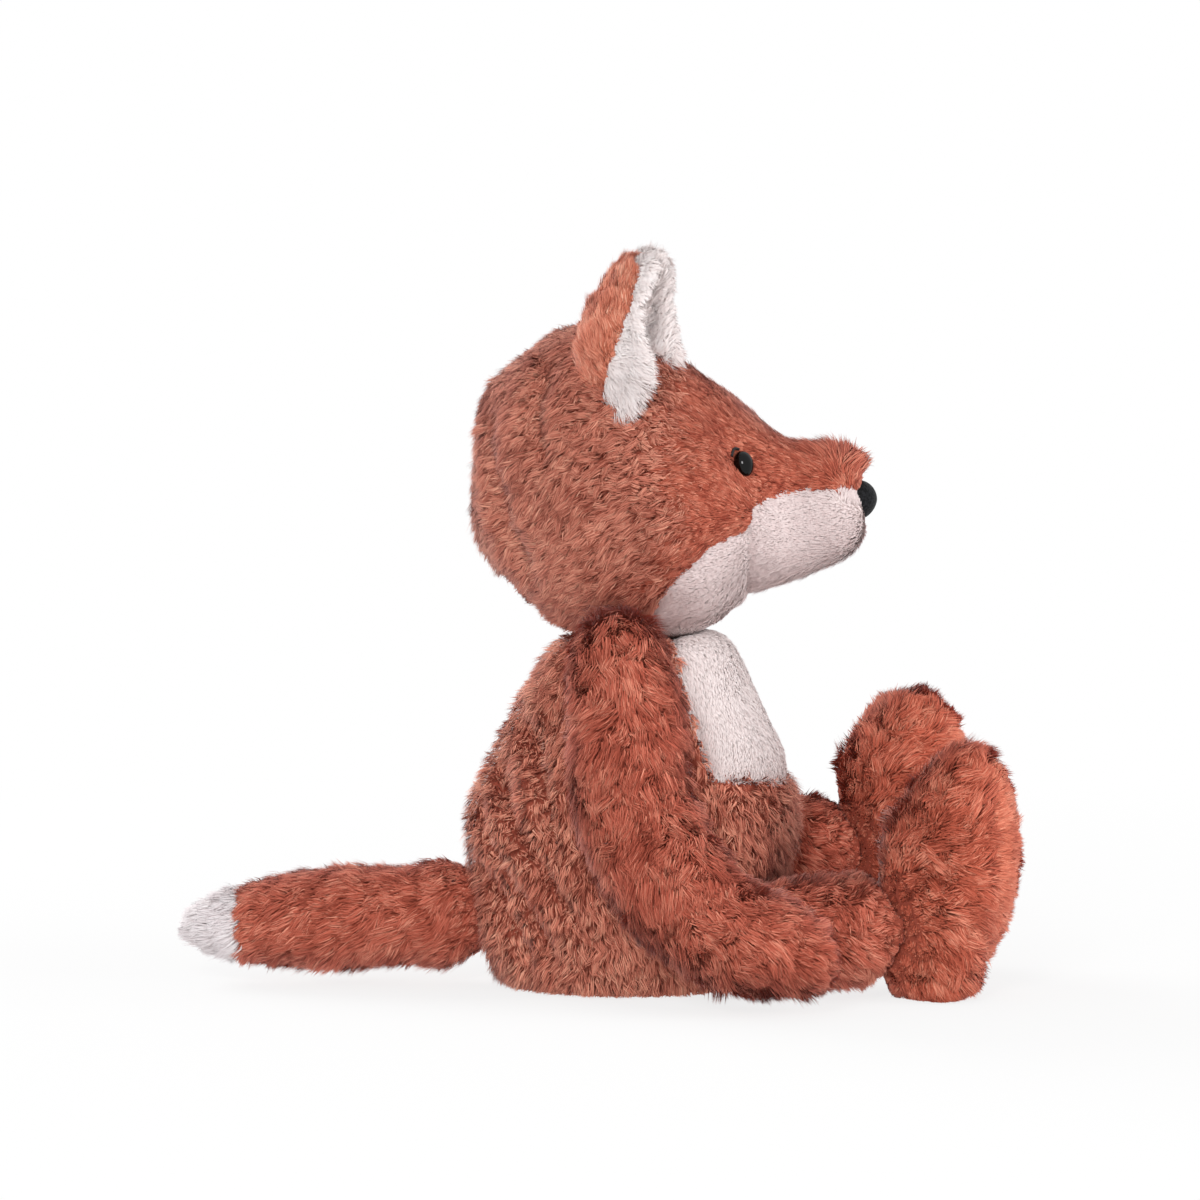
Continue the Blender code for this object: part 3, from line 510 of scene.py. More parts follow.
class Skin:
    """The outer cloth of one stuffed form, made from the CAD solids that it stands for."""

    lowest = 0.0004

    def __init__(self, name: str, nodes: Sequence[str], voxel: float = 0.0020,
                 rounds: int = 11) -> None:
        """Fuse the solids into one closed skin and smooth it.

        Args:
            name: The piece's name.
            nodes: The CAD nodes that make the form.
            voxel: The remesh size.
            rounds: How many rounds of smoothing.
        """
        self.nodes = nodes
        self.object = self._fused(name, nodes)
        apply_modifier(self.object, "REMESH", mode="VOXEL", voxel_size=voxel, adaptivity=0.0)
        self._keep_outside()
        apply_modifier(self.object, "SMOOTH", factor=0.5, iterations=rounds)
        self.object.data.shade_smooth()
        self._read()

    def _read(self) -> None:
        """Take the points, their normals and the triangles from the mesh."""
        mesh = self.object.data
        self.points = triples(mesh.vertices, "co")
        self.normals = triples(mesh.vertices, "normal")
        mesh.calc_loop_triangles()
        self.triangles = triples(mesh.loop_triangles, "vertices", np.int32)

    @property
    def x(self) -> Array:
        """How far ahead each point lies."""
        return self.points[:, 0]

    @property
    def y(self) -> Array:
        """How far to the left each point lies."""
        return self.points[:, 1]

    @property
    def z(self) -> Array:
        """How high each point lies."""
        return self.points[:, 2]

    @staticmethod
    def _fused(name: str, nodes: Sequence[str]) -> Object:
        """Join merged copies of the CAD nodes' meshes into one object."""
        shell = bmesh.new()
        for node in nodes:
            shell.from_mesh(bpy.data.objects[node].data)
        bmesh.ops.remove_doubles(shell, verts=shell.verts, dist=1e-6)
        mesh = bpy.data.meshes.new(name)
        shell.to_mesh(mesh)
        shell.free()
        return add_object(name, mesh)

    def _keep_outside(self) -> None:
        """Delete the bubbles that the remesh leaves between cover and filling."""
        shell = bmesh.new()
        shell.from_mesh(self.object.data)
        unseen = set(shell.verts)
        islands = []
        while unseen:
            queue = [unseen.pop()]
            island = list(queue)
            while queue:
                for edge in queue.pop().link_edges:
                    fresh = unseen.intersection(edge.verts)
                    unseen -= fresh
                    queue.extend(fresh)
                    island.extend(fresh)
            islands.append(island)
        islands.sort(key=len)
        spare = [vertex for island in islands[:-1] for vertex in island]
        bmesh.ops.delete(shell, geom=spare, context="VERTS")
        shell.to_mesh(self.object.data)
        shell.free()

    def move(self, offsets: Array) -> None:
        """Shift each point by its offset, keep the skin above the floor and read it again."""
        points = self.points + offsets
        points[:, 2] = np.maximum(points[:, 2], self.lowest)
        self.object.data.vertices.foreach_set("co", points.ravel())
        self.object.data.update()
        self._read()

    def press(self, depth: Array) -> None:
        """Move the skin inward by a depth at each point."""
        self.move(-self.normals * depth[:, None])

    def seam(self, panel: str, other: str, depth: float, width: float) -> Array:
        """Draw the skin in along the seam between two CAD panels.

        Args:
            panel: The panel on the positive side.
            other: The panel on the other side.
            depth: How deep the seam draws in.
            width: The seam's half width.

        Returns:
            Each point's distance from the seam, negative over the other panel.
        """
        across = distances(self.points, other) - distances(self.points, panel)
        self.press(depth * bell(across, width))
        return across

    def dress(self, body: str, finish: Finish = Finish.RUST_BACKING,
              second: Finish | None = None, across: Array | None = None) -> None:
        """Give the skin its backing and body, and let it stand for its solids.

        Args:
            body: The CAD body that it rides on.
            finish: The backing.
            second: The backing of the second panel, if there is one.
            across: The distance from the seam, negative over the second panel.
        """
        mesh = self.object.data
        mesh.materials.clear()
        mesh.materials.append(finish.material)
        if second is not None:
            mesh.materials.append(second.material)
            for polygon in mesh.polygons:
                if np.mean(across[list(polygon.vertices)]) < 0.0:
                    polygon.material_index = 1
        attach(self.object, body)
        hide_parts(*self.nodes)
        LOG.info("skin %s on %s: %d faces", self.object.name, body, len(mesh.polygons))


# ---------------- pile


@dataclass(frozen=True)
class Coat:
    """How one stretch of pile grows: its blades, their tufts and their colours."""

    strands: int
    length: float
    width: float
    lift: float
    stray: float
    tuft: float
    gather: float
    droop: float
    curl: float
    tint_wave: float
    seed: int
    contrast: float


class Fur(Enum):
    """Every coat on the fox, with its values in the order of Coat's fields."""

    # strands, length, width, lift, stray, tuft, gather, droop, curl, tint_wave, seed, contrast
    TORSO = Coat(92000, 0.0066, 0.00043, 0.52, 0.17, 0.0018, 0.62, 0.40, 0.42, 0.020, 11, 1.40)
    BIB = Coat(40000, 0.0030, 0.00046, 0.22, 0.07, 0.0016, 0.08, 0.05, 0.08, 0.030, 12, 0.40)
    HEAD = Coat(92000, 0.0064, 0.00044, 0.41, 0.15, 0.0017, 0.60, 0.30, 0.42, 0.020, 21, 1.25)
    FACE = Coat(80000, 0.0056, 0.00040, 0.23, 0.10, 0.0020, 0.42, 0.05, 0.16, 0.014, 22, 1.20)
    JAW = Coat(60000, 0.0033, 0.00042, 0.24, 0.07, 0.0016, 0.08, 0.05, 0.08, 0.030, 23, 0.40)
    EAR = Coat(28000, 0.0076, 0.00042, 0.34, 0.15, 0.0021, 0.50, 0.10, 0.28, 0.020, 31, 1.20)
    EAR_LINING = Coat(20000, 0.0044, 0.00038, 0.36, 0.15, 0.0017, 0.22, 0.10, 0.18, 0.030, 32, 0.70)
    EAR_RIM = Coat(14000, 0.0052, 0.00038, 0.36, 0.18, 0.0018, 0.30, 0.10, 0.22, 0.030, 33, 0.70)
    ARM = Coat(69000, 0.0086, 0.00046, 0.46, 0.19, 0.0026, 0.58, 0.35, 0.34, 0.022, 41, 1.20)
    LEG = Coat(28000, 0.0080, 0.00046, 0.46, 0.19, 0.0026, 0.58, 0.30, 0.34, 0.020, 51, 1.20)
    FOOT = Coat(46000, 0.0088, 0.00047, 0.48, 0.20, 0.0027, 0.58, 0.20, 0.34, 0.020, 52, 1.20)
    SOLE = Coat(25000, 0.0070, 0.00044, 0.42, 0.19, 0.0022, 0.50, 0.15, 0.28, 0.020, 53, 1.00)
    TAIL = Coat(56000, 0.0084, 0.00045, 0.34, 0.17, 0.0024, 0.54, 0.30, 0.32, 0.020, 61, 1.20)
    TAIL_TIP = Coat(18000, 0.0088, 0.00048, 0.34, 0.18, 0.0024, 0.55, 0.10, 0.22, 0.020, 62, 1.00)


class Pile:
    """Pile grown from a skin as gathered tufts of tapering blades."""

    least_share = 0.05
    lowest = 0.0002
    root_sunk = 0.0004
    blade_lengths = (0.72, 1.12)
    tuft_lengths = (0.84, 1.14)
    blade_widths = (0.75, 1.25)
    bend_out = 0.10
    middle_pull = 0.45
    tuft_tint = 0.055
    blade_tint = 0.13
    tuft_painted_shading = 0.20
    wave_tint = 0.050

    def __init__(self, skin: Skin, fur: Fur, comb: Field, shares: Array,
                 crowd: Array | None = None) -> None:
        """Plant the roots and shape every blade.

        Args:
            skin: The skin that carries the pile.
            fur: How the pile grows.
            comb: Where the pile is brushed to, from places and normals.
            shares: The pile's length share at each of the skin's points; the least grow none.
            crowd: How thickly it is planted at each point, evenly if left out.
        """
        self.coat = coat = fur.value
        rng = np.random.default_rng(coat.seed)
        triangles = skin.triangles
        corners = skin.points[triangles]
        areas = np.linalg.norm(np.cross(corners[:, 1] - corners[:, 0],
                                        corners[:, 2] - corners[:, 0]), axis=1)
        weight = areas * (shares[triangles].mean(axis=1) > self.least_share)
        if crowd is not None:
            weight = weight * crowd[triangles].mean(axis=1)
        chosen = rng.choice(len(triangles), size=coat.strands, p=weight / weight.sum())
        bary = rng.dirichlet((1.0, 1.0, 1.0), size=coat.strands)
        spots = triangles[chosen]
        roots = np.einsum("ij,ijk->ik", bary, skin.points[spots])
        normals = unit(np.einsum("ij,ijk->ik", bary, skin.normals[spots]))
        lengths = np.einsum("ij,ij->i", bary, shares[spots]) * coat.length
        self._shape(roots, normals, lengths, comb, rng)

    def _shape(self, roots: Array, normals: Array, lengths: Array, comb: Field,
               rng: np.random.Generator) -> None:
        """Bend the blades, gather them into tufts and colour them, with painted shading across each
        tuft.
        """
        coat = self.coat
        count = len(roots)
        brushed = tangent(comb(roots, normals), normals)
        heading = unit(normals * coat.lift + brushed * (1.0 - coat.lift)
                       + rng.normal(size=(count, 3)) * coat.stray)
        lengths = lengths * rng.uniform(*self.blade_lengths, count)

        seeds, owner = self._tufts(roots, rng)
        leader = seeds[owner]
        lengths = lengths * rng.uniform(*self.tuft_lengths, len(seeds))[owner]
        middles = (roots + heading * (lengths * 0.5)[:, None]
                   + normals * (lengths * self.bend_out)[:, None])
        tips = roots + heading * lengths[:, None] - UP * (lengths * coat.droop * 0.3)[:, None]
        away = np.linalg.norm(roots - roots[leader], axis=1)
        pull = (coat.gather * bell(away, coat.tuft * 1.6))[:, None]
        swirl = tangent(rng.normal(size=(len(seeds), 3)), normals[seeds])[owner]
        lead_tip = tips[leader] + swirl * (lengths * coat.curl)[:, None]
        half_pull = pull * self.middle_pull
        middles = middles * (1.0 - half_pull) + middles[leader] * half_pull
        tips = tips * (1.0 - pull) + lead_tip * pull
        sideways = unit(np.cross(tips - roots, normals) + rng.normal(size=(count, 3)) * 0.0005)
        level = normals * (1.0, 1.0, 0.0)
        seen_from = normals + level / np.maximum(
            np.linalg.norm(level, axis=1, keepdims=True), 0.2)
        facing = np.sum(np.cross(sideways, tips - roots) * seen_from, axis=1)
        sideways *= np.where(facing < 0.0, -1.0, 1.0)[:, None]
        roots = roots - normals * self.root_sunk

        of_tuft = rng.normal(size=len(seeds))[owner]
        # painted shading: each tuft lighter at its centre and darker toward its edge, in place of
        # the shade between tufts
        crown = 0.5 - np.clip(away / (coat.tuft * 1.3), 0.0, 1.0)
        tint = (self.tuft_tint * of_tuft + self.blade_tint * rng.normal(size=count)
                + self.tuft_painted_shading * crown
                + self.wave_tint * ripple(roots, coat.tint_wave, coat.seed + 5))
        self.tints = np.clip(0.5 + coat.contrast * tint, 0.02, 0.98)
        half = (coat.width * 0.5 * rng.uniform(*self.blade_widths, count))[:, None]
        self.blades = np.stack(
            (roots, middles + sideways * half, middles - sideways * half, tips), axis=1)
        self.blades[:, :, 2] = np.maximum(self.blades[:, :, 2], self.lowest)
        self.lighting = unit(normals + heading * 0.25)

    def _tufts(self, roots: Array, rng: np.random.Generator) -> tuple[Array, Array]:
        """The blades that lead a tuft, and the number of each blade's nearest leader."""
        count = len(roots)
        cell = 0.004
        area = len(np.unique(np.round(roots / cell).astype(np.int64), axis=0)) * cell ** 2
        spacing = max(1, int(count * self.coat.tuft ** 2 * 3.0 / area))
        seeds = rng.choice(count, size=max(2, count // spacing), replace=False)
        tree = KDTree(len(seeds))
        for index, seed in enumerate(seeds):
            tree.insert(roots[seed], index)
        tree.balance()
        return seeds, np.array([tree.find(root)[1] for root in roots])

    def build(self, name: str, finish: Finish, body: str, slot: str = "rust_plush") -> None:
        """Make the pile's mesh and hang it on its body.

        Args:
            name: The piece's name.
            finish: Its material.
            body: The CAD body that it rides on.
            slot: The record's material slot; not used.
        """
        count = len(self.blades)
        mesh = bpy.data.meshes.new(name)
        first = np.arange(count, dtype=np.int32)[:, None] * 4
        corners = first + np.array((0, 1, 2, 2, 1, 3), dtype=np.int32)
        mesh.vertices.add(count * 4)
        mesh.vertices.foreach_set("co", self.blades.astype(np.float32).ravel())
        mesh.loops.add(count * 6)
        mesh.loops.foreach_set("vertex_index", corners.ravel())
        mesh.polygons.add(count * 2)
        mesh.polygons.foreach_set("loop_start", np.arange(count * 2, dtype=np.int32) * 3)
        mesh.update(calc_edges=True)
        chart = mesh.uv_layers.new(name=PILE_UV)
        across = np.array((0.0, 0.004, -0.004, -0.004, 0.004, 0.0))
        places = np.empty((count, 6, 2), dtype=np.float32)
        places[:, :, 0] = np.clip(self.tints[:, None] + across, 0.005, 0.995)
        places[:, :, 1] = np.array((0.02, 0.5, 0.5, 0.5, 0.5, 0.98))
        chart.data.foreach_set("uv", places.ravel())
        mesh.shade_smooth()
        mesh.normals_split_custom_set_from_vertices(np.repeat(self.lighting, 4, axis=0).tolist())
        mesh.materials.append(finish.material)
        made = add_object(name, mesh)
        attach(made, body)
        LOG.info("pile %s on %s: %d blades", name, body, count)


def clear_of(skin: Skin, nodes: Sequence[str], least: float, fur: Fur) -> Array:
    """The length share that keeps pile out of the forms beside a skin.

    Args:
        skin: The skin.
        nodes: The CAD nodes of its neighbours.
        least: The least pile that is left, in metres.
        fur: The coat, which gives the full pile.

    Returns:
        A share from near 0 to 1 at each of the skin's points.
    """
    gap = distances(skin.points, *nodes)
    return np.clip(np.maximum(gap * 0.65, least) / fur.value.length, 0.0, 1.0)


# ---------------- the fox


@dataclass
class Torso:
    """The seated body with its cream bib."""

    pleats: tuple = (
        ((-0.053, 0.082), (-0.040, 0.046), (-0.020, 0.010)),
        ((-0.052, 0.054), (-0.040, 0.028), (-0.030, 0.008)),
        ((-0.036, 0.104), (-0.026, 0.078), (-0.020, 0.048)),
        ((-0.048, 0.094), (-0.034, 0.062), (-0.012, 0.024)),
    )
    pleat_depth: float = 0.0058
    ripple_depth: float = 0.0013
    arm_hollow: float = 0.0036
    belly_fuller: float = 0.0060
    back_fuller: float = 0.0034
    bib_fuller: float = 0.0014

    def build(self) -> None:
        """Make the skin, its pile and the bib's pile."""
        skin = Skin("torso_skin", ("torso_cover", "chest_panel", "torso_filling"), voxel=0.0021)
        deep = self._pleat(skin)
        across = skin.seam("torso_cover", "chest_panel", depth=0.0012, width=0.0022)
        arms = distances(skin.points, *both("arm_cover"))
        skin.press(self.arm_hollow * fall(arms, 0.002, 0.008))
        belly, seat = bell(skin.z - 0.070, 0.026), bell(skin.z - 0.060, 0.020)
        skin.press(-self.belly_fuller * belly * rise(skin.normals[:, 0], 0.1, 0.7)
                   - self.back_fuller * seat * rise(-skin.normals[:, 0], 0.2, 0.8)
                   - self.bib_fuller * rise(-across, 0.001, 0.012))
        skin.dress("torso", second=Finish.CREAM_BACKING, across=across)
        beside = both("arm_cover", "leg_cover") + ["head_cover", "jaw_cover", "tail_cover"]
        floor = raised(rise(skin.z, -0.004, 0.008), 0.3)
        rust = (1.0 - 0.62 * deep) * clear_of(skin, beside, 0.0011, Fur.TORSO) * floor * (
            across > 0.0002) * raised(rise(across, 0.0, 0.004), 0.75)
        Pile(skin, Fur.TORSO, self._comb, rust).build(
            "torso_pile", Finish.NUBBY, "torso")
        cream = clear_of(skin, beside, 0.0010, Fur.BIB) * (across < 0.0004)
        Pile(skin, Fur.BIB, self._comb, cream).build(
            "chest_pile", Finish.BIB, "torso", "cream_plush")

    @staticmethod
    def _comb(points: Array, normals: Array) -> Array:
        """Brushed down, and a little outward."""
        return normals * 0.2 - UP + swerve(points, 0.03, 0.4, 3, 4, None)

    def _pleat(self, skin: Skin) -> Array:
        """Press the pleats of the back and the seat, and give how deep each point lies in one."""
        deep = groove(skin.points, self.pleats, 0.0036) * rise(np.abs(skin.y), 0.003, 0.014)
        calm = 1.0 - rise(skin.normals[:, 0], 0.0, 0.4)
        skin.press((self.ripple_depth * calm * ripple(skin.points, 0.045, 21)
                    + self.pleat_depth * deep) * rise(skin.z, 0.0, 0.01))
        return deep


@dataclass
class Head:
    """The skull and muzzle with their three stretches of pile."""

    creases: tuple = (
        ((-0.041, 0.222), (-0.043, 0.196), (-0.037, 0.168), (-0.024, 0.146)),
        ((-0.020, 0.226), (-0.026, 0.206), (-0.022, 0.186)),
    )
    jaw_seam: tuple = (((0.047, 0.168), (0.0475, 0.136)),)
    crease_depth: float = 0.0036
    jaw_seam_depth: float = 0.0016
    socket_depth: float = 0.0020
    ripple_depth: float = 0.0009
    back_fuller: float = 0.0014
    crown_fuller: float = 0.0026

    def build(self) -> None:
        """Make the skin and its three stretches of pile."""
        skin = Skin("head_skin", ("head_cover", "jaw_cover", "head_filling"))
        self._shape(skin)
        across = skin.seam("head_cover", "jaw_cover", depth=0.0010, width=0.0020)
        skin.dress("head", second=Finish.CREAM_BACKING, across=across)
        bare = raised(rise(apart(skin.points, middle_of("nose")), 0.0080, 0.0110), 0.5)
        for side in SIDES:
            bare = bare * rise(apart(skin.points, eye_line(side)[0]), 0.0044, 0.0085)
        clear = clear_of(
            skin, ["torso_cover", "chest_panel"] + both("arm_cover"), 0.0012, Fur.HEAD) * bare
        face = rise(skin.x + 0.004 * ripple(skin.points, 0.02, 33), 0.004, 0.030)
        rust = (across > 0.0002) * clear * raised(rise(across, 0.0, 0.004), 0.8)
        Pile(skin, Fur.HEAD, self._comb, rust, 1.001 - face).build(
            "head_pile", Finish.HEAD, "head")
        snout = 1.0 + rise(skin.normals[:, 2], 0.1, 0.7) * (
            0.5 * rise(skin.x, 0.060, 0.074) + 1.1 * rise(skin.x, 0.0755, 0.081))
        Pile(skin, Fur.FACE, self._comb, rust * snout, face + 0.001).build(
            "face_pile", Finish.FACE, "head")
        under = 1.0 + 0.6 * rise(-skin.normals[:, 2], 0.1, 0.7) * rise(
            skin.x, 0.040, 0.060)
        cream = (across < 0.0006) * clear * under * (
            1.0 - 0.4 * groove(skin.points, self.jaw_seam, 0.0020))
        Pile(skin, Fur.JAW, self._comb, cream).build(
            "jaw_pile", Finish.JAW, "head", "cream_plush")

    @staticmethod
    def _comb(points: Array, normals: Array) -> Array:
        """Brushed back from the nose, turning down behind the ears and up above the nose."""
        back = fall(points[:, 0], -0.02, 0.03)[:, None]
        brow = (rise(points[:, 0], 0.0745, 0.0805)
                * rise(normals[:, 2], 0.0, 0.5))[:, None]
        flow = np.array((-1.0, 0.0, 0.12)) * (1.0 - back) + np.array((-0.8, 0.0, -0.6)) * back
        upright = np.array((0.7, 0.0, 0.5)) + normals * 1.2
        return flow * (1.0 - brow) + upright * brow + swerve(points, 0.03, 0.3, None, 8, 9)

    def _shape(self, skin: Skin) -> None:
        """Fill out the back, ripple the stuffing, and press the creases and the eye sockets."""
        depth = (self.ripple_depth * ripple(skin.points, 0.035, 31)
                 - self.back_fuller * fall(skin.x, -0.02, 0.03))
        depth -= self.crown_fuller * rise(skin.z, 0.185, 0.215) * fall(
            skin.x, -0.015, 0.015)
        depth += self.crease_depth * rise(np.abs(skin.y), 0.004, 0.02) * groove(
            skin.points, self.creases, 0.0034)
        depth += self.jaw_seam_depth * groove(skin.points, self.jaw_seam, 0.0022)
        for side in SIDES:
            depth += self.socket_depth * bell(apart(skin.points, eye_line(side)[0]), 0.0085)
        skin.press(depth)


@dataclass
class Ear:
    """One ear: its rust back and its cream lining."""

    side: str
    stitch: tuple[float, float] = (-0.0058, 0.2488)
    stitch_depth: float = 0.0026
    rim_forward: float = 0.0050
    foot_back: float = 0.0035
    lining_fuller: float = 0.0078
    peak: tuple[float, float, float] = (0.0020, 0.0, 0.0042)
    opening_turn: float = math.radians(26.0)
    voxel: float = 0.0010
    rounds: int = 6

    def build(self) -> None:
        """Make both cloths of the ear and their pile."""
        side = self.side
        back_node, lining_node = f"{side}_ear_back", f"{side}_ear_lining"
        root = middle_of(back_node)
        root.z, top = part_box(back_node)[0][2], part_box(back_node)[1][2]
        back = Skin(f"{side}_ear_back_skin", (back_node,), self.voxel, self.rounds)
        height = (back.z - root.z) / (top - root.z)
        low = fall(height, 0.25, 0.75)
        outer = rise(back.y * SIDES[side], 0.030, 0.040)
        fold = outer * bell(apart(back.points[:, (0, 2)], self.stitch), 0.0030)
        forward = fall(self._rim(back.points), 0.0, 0.010) * outer * (
            self.rim_forward * low * rise(height, 0.08, 0.38)
            - self.foot_back * fall(height, 0.0, 0.20))
        back.move(forward[:, None] * AHEAD - back.normals * (self.stitch_depth * fold)[:, None]
                  + self._drawn_out(back.points, root.z, top))
        band = (0.0030 + 0.0095 * low * rise(height, -0.15, 0.2)
                + 0.012 * rise(height, 0.86, 0.97))
        across = self._rim(back.points) - band + 0.0006 * ripple(back.points, 0.008, 35)
        back.dress("head", second=Finish.CREAM_BACKING, across=across)
        away = distances(back.points, lining_node)
        outside = (away > 0.0016) * raised(rise(back.z, root.z, root.z + 0.012), 0.6)
        Pile(back, Fur.EAR, self._comb(root), outside * (across > 0.0) * (1.0 - 0.7 * fold)
             * raised(rise(across, 0.0, 0.004), 0.55)).build(
            f"{side}_ear_pile", Finish.EAR, "head")
        Pile(back, Fur.EAR_RIM, self._comb_rim, (away > 0.0008) * (across <= 0.0004)
             * (0.8 + 0.7 * low)).build(
            f"{side}_ear_rim_pile", Finish.CREAM, "head", "cream_plush")
        lining = Skin(f"{side}_ear_lining_skin", (lining_node,), self.voxel, self.rounds)
        deep = rise(self._rim(lining.points), 0.0005, 0.009)
        lining.move(deep[:, None] * self._opening() * self.lining_fuller
                    + self._drawn_out(lining.points, root.z, top))
        lining.dress("head", Finish.CREAM_BACKING)
        inside = distances(lining.points, back_node) > 0.0010
        fringe = 1.0 + 0.6 * fall(self._rim(lining.points), 0.001, 0.005)
        Pile(lining, Fur.EAR_LINING, self._comb(root), inside * fringe).build(
            f"{side}_ear_lining_pile", Finish.CREAM, "head", "cream_plush")

    def _drawn_out(self, points: Array, low: float, high: float) -> Array:
        """The moves that draw the ear's tip out, between its foot's and its tip's heights."""
        return rise((points[:, 2] - low) / (high - low), 0.72, 1.0)[:, None] * self.peak

    def _opening(self) -> Array:
        """The way that the ear opens."""
        turn = self.opening_turn
        return np.array((math.cos(turn), math.sin(turn) * SIDES[self.side], 0.0))

    def _rim(self, points: Array) -> Array:
        """How far points lie behind the front edge of the ear, along the way that it opens."""
        along = points @ self._opening()
        levels = np.round(points[:, 2] / 0.004).astype(int)
        front = {level: along[levels == level].max() for level in np.unique(levels)}
        return np.array([front[level] for level in levels]) - along

    @staticmethod
    def _comb_rim(points: Array, normals: Array) -> Array:
        """Brushed forward, falling a little."""
        return np.array((1.0, 0.0, -0.5)) + swerve(points, 0.01, 0.3, None, 36, 37)

    @staticmethod
    def _comb(root: Vector) -> Field:
        """Brushed up and out from the ear's root."""
        return lambda points, normals: unit(points - np.array(root)) + UP * 0.5 + normals * 0.1


@dataclass
class Arm:
    """One hanging arm."""

    side: str
    ripple_depth: float = 0.0009
    paw_slimmer: float = 0.0045
    torso_hollow: float = 0.0026

    def build(self) -> None:
        """Make the arm's skin and pile."""
        side, body = self.side, f"{self.side}_arm"
        skin = Skin(f"{body}_skin", (f"{body}_cover", f"{body}_filling"))
        paw = rise(skin.x, 0.062, 0.078)
        beneath = fall(distances(skin.points, "torso_cover"), 0.001, 0.0065)
        skin.press(self.ripple_depth * ripple(skin.points, 0.035, 41) + self.paw_slimmer * paw
                   + self.torso_hollow * beneath)
        skin.dress(body)
        beside = ["torso_cover", "chest_panel", f"{side}_leg_cover", f"{side}_foot_cover"]
        shares = clear_of(skin, beside, 0.0012, Fur.ARM) * raised(
            rise(skin.z, 0.0, 0.016), 0.5) * (1.0 - 0.35 * paw)
        Pile(skin, Fur.ARM, self._comb, shares).build(
            f"{body}_pile", Finish.ARM, body)

    @staticmethod
    def _comb(points: Array, normals: Array) -> Array:
        """Brushed from the shoulder to the paw."""
        forward = fall(points[:, 2], 0.02, 0.07)
        outward = np.sign(points[:, 1]) * 0.2
        return np.stack((forward * 0.95, outward, -1.0 + forward * 0.75), axis=1) + swerve(
            points, 0.03, 0.35, 5, 6, None)


@dataclass
class Leg:
    """One leg with its foot and sole."""

    side: str
    ripple_depth: float = 0.0008
    toe_slimmer: float = 0.0088
    left_instep_fuller: float = 0.0045

    def build(self) -> None:
        """Make the leg's and foot's skins and their pile."""
        side, body = self.side, f"{self.side}_leg"
        leg_node, foot_node, sole_node = f"{side}_leg_cover", f"{side}_foot_cover", f"{side}_sole"
        arm_node = f"{side}_arm_cover"
        leg = Skin(f"{side}_leg_skin", (leg_node, f"{side}_leg_filling"), rounds=10)
        leg.dress(body)
        clear = clear_of(leg, ["torso_cover", foot_node, arm_node], 0.0010, Fur.LEG)
        floor = raised(rise(leg.z, 0.0, 0.010), 0.4)
        Pile(leg, Fur.LEG, self._comb_leg, clear * floor).build(
            f"{side}_leg_pile", Finish.TUFTY, body)

        foot = Skin(f"{side}_foot_skin", (foot_node, sole_node, f"{side}_foot_filling"), rounds=10)
        self._shape_foot(foot)
        across = foot.seam(foot_node, sole_node, depth=0.0012, width=0.0022)
        foot.dress(body)
        floor = raised(rise(foot.z, 0.0, 0.012), 0.4)
        clear = clear_of(foot, [leg_node, arm_node], 0.0012, Fur.FOOT)
        comb = self._comb_foot(middle_of(foot_node))
        Pile(foot, Fur.FOOT, comb, clear * floor * (across > 0.0)).build(
            f"{side}_foot_pile", Finish.FOOT, body)
        Pile(foot, Fur.SOLE, comb, floor * (across <= 0.0)).build(
            f"{side}_sole_pile", Finish.SOLE, body, "sole_plush")

    def _shape_foot(self, foot: Skin) -> None:
        """Ripple the foot, slim the toe's lower corner and fill the left instep."""
        low_toe = rise(foot.x, 0.112, 0.136) * fall(foot.z, 0.006, 0.042)
        instep = rise(foot.z, 0.050, 0.085) * rise(-foot.normals[:, 0], -0.1, 0.6)
        fuller = self.left_instep_fuller if self.side == "left" else 0.0
        foot.press(self.ripple_depth * ripple(foot.points, 0.03, 55) + self.toe_slimmer * low_toe
                   - fuller * instep)

    @staticmethod
    def _comb_leg(points: Array, normals: Array) -> Array:
        """Brushed along the leg and a little down."""
        return np.array((0.8, 0.0, -0.6)) + swerve(points, 0.02, 0.4, None, 6, 7)

    @staticmethod
    def _comb_foot(centre: Vector) -> Field:
        """Brushed out from the heel, and forward."""
        heel = np.array((centre.x - 0.01, centre.y, centre.z - 0.01))
        return lambda points, normals: (unit(points - heel) + np.array((0.35, 0.0, -0.15))
                                        + swerve(points, 0.02, 0.35, 14, 15, 16))


@dataclass
class Tail:
    """The tail and its pale tip."""

    root_height: float = 0.0255
    root_fuller: float = 0.0074
    sideways_share: float = 0.35

    def build(self) -> None:
        """Make the tail's skin and both piles."""
        skin = Skin("tail_skin", ("tail_cover", "tail_tip", "tail_filling"), 0.0015, 10)
        level = np.array((0.0, middle_of("tail_filling").y, self.root_height))
        spread = (skin.points - level) * (0.0, self.sideways_share, 1.0)
        spread /= np.maximum(apart(skin.points[:, 1:], level[1:]), 0.005)[:, None]
        skin.move(spread * (self.root_fuller * rise(skin.x, -0.080, -0.056))[:, None])
        across = skin.seam("tail_cover", "tail_tip", depth=0.0006, width=0.0020)
        skin.dress("tail", second=Finish.TIP_BACKING, across=across)
        clear = clear_of(skin, ["torso_cover"], 0.0012, Fur.TAIL)
        Pile(skin, Fur.TAIL, self._comb, clear * (across > 0.0)).build(
            "tail_pile", Finish.TUFTY, "tail")
        Pile(skin, Fur.TAIL_TIP, self._comb, clear * (across <= 0.0008)).build(
            "tail_tip_pile", Finish.TIP, "tail", "tail_tip_plush")

    @staticmethod
    def _comb(points: Array, normals: Array) -> Array:
        """Brushed to the tip."""
        return np.array((-1.0, 0.0, -0.2)) + swerve(points, 0.02, 0.3, None, 17, 18)


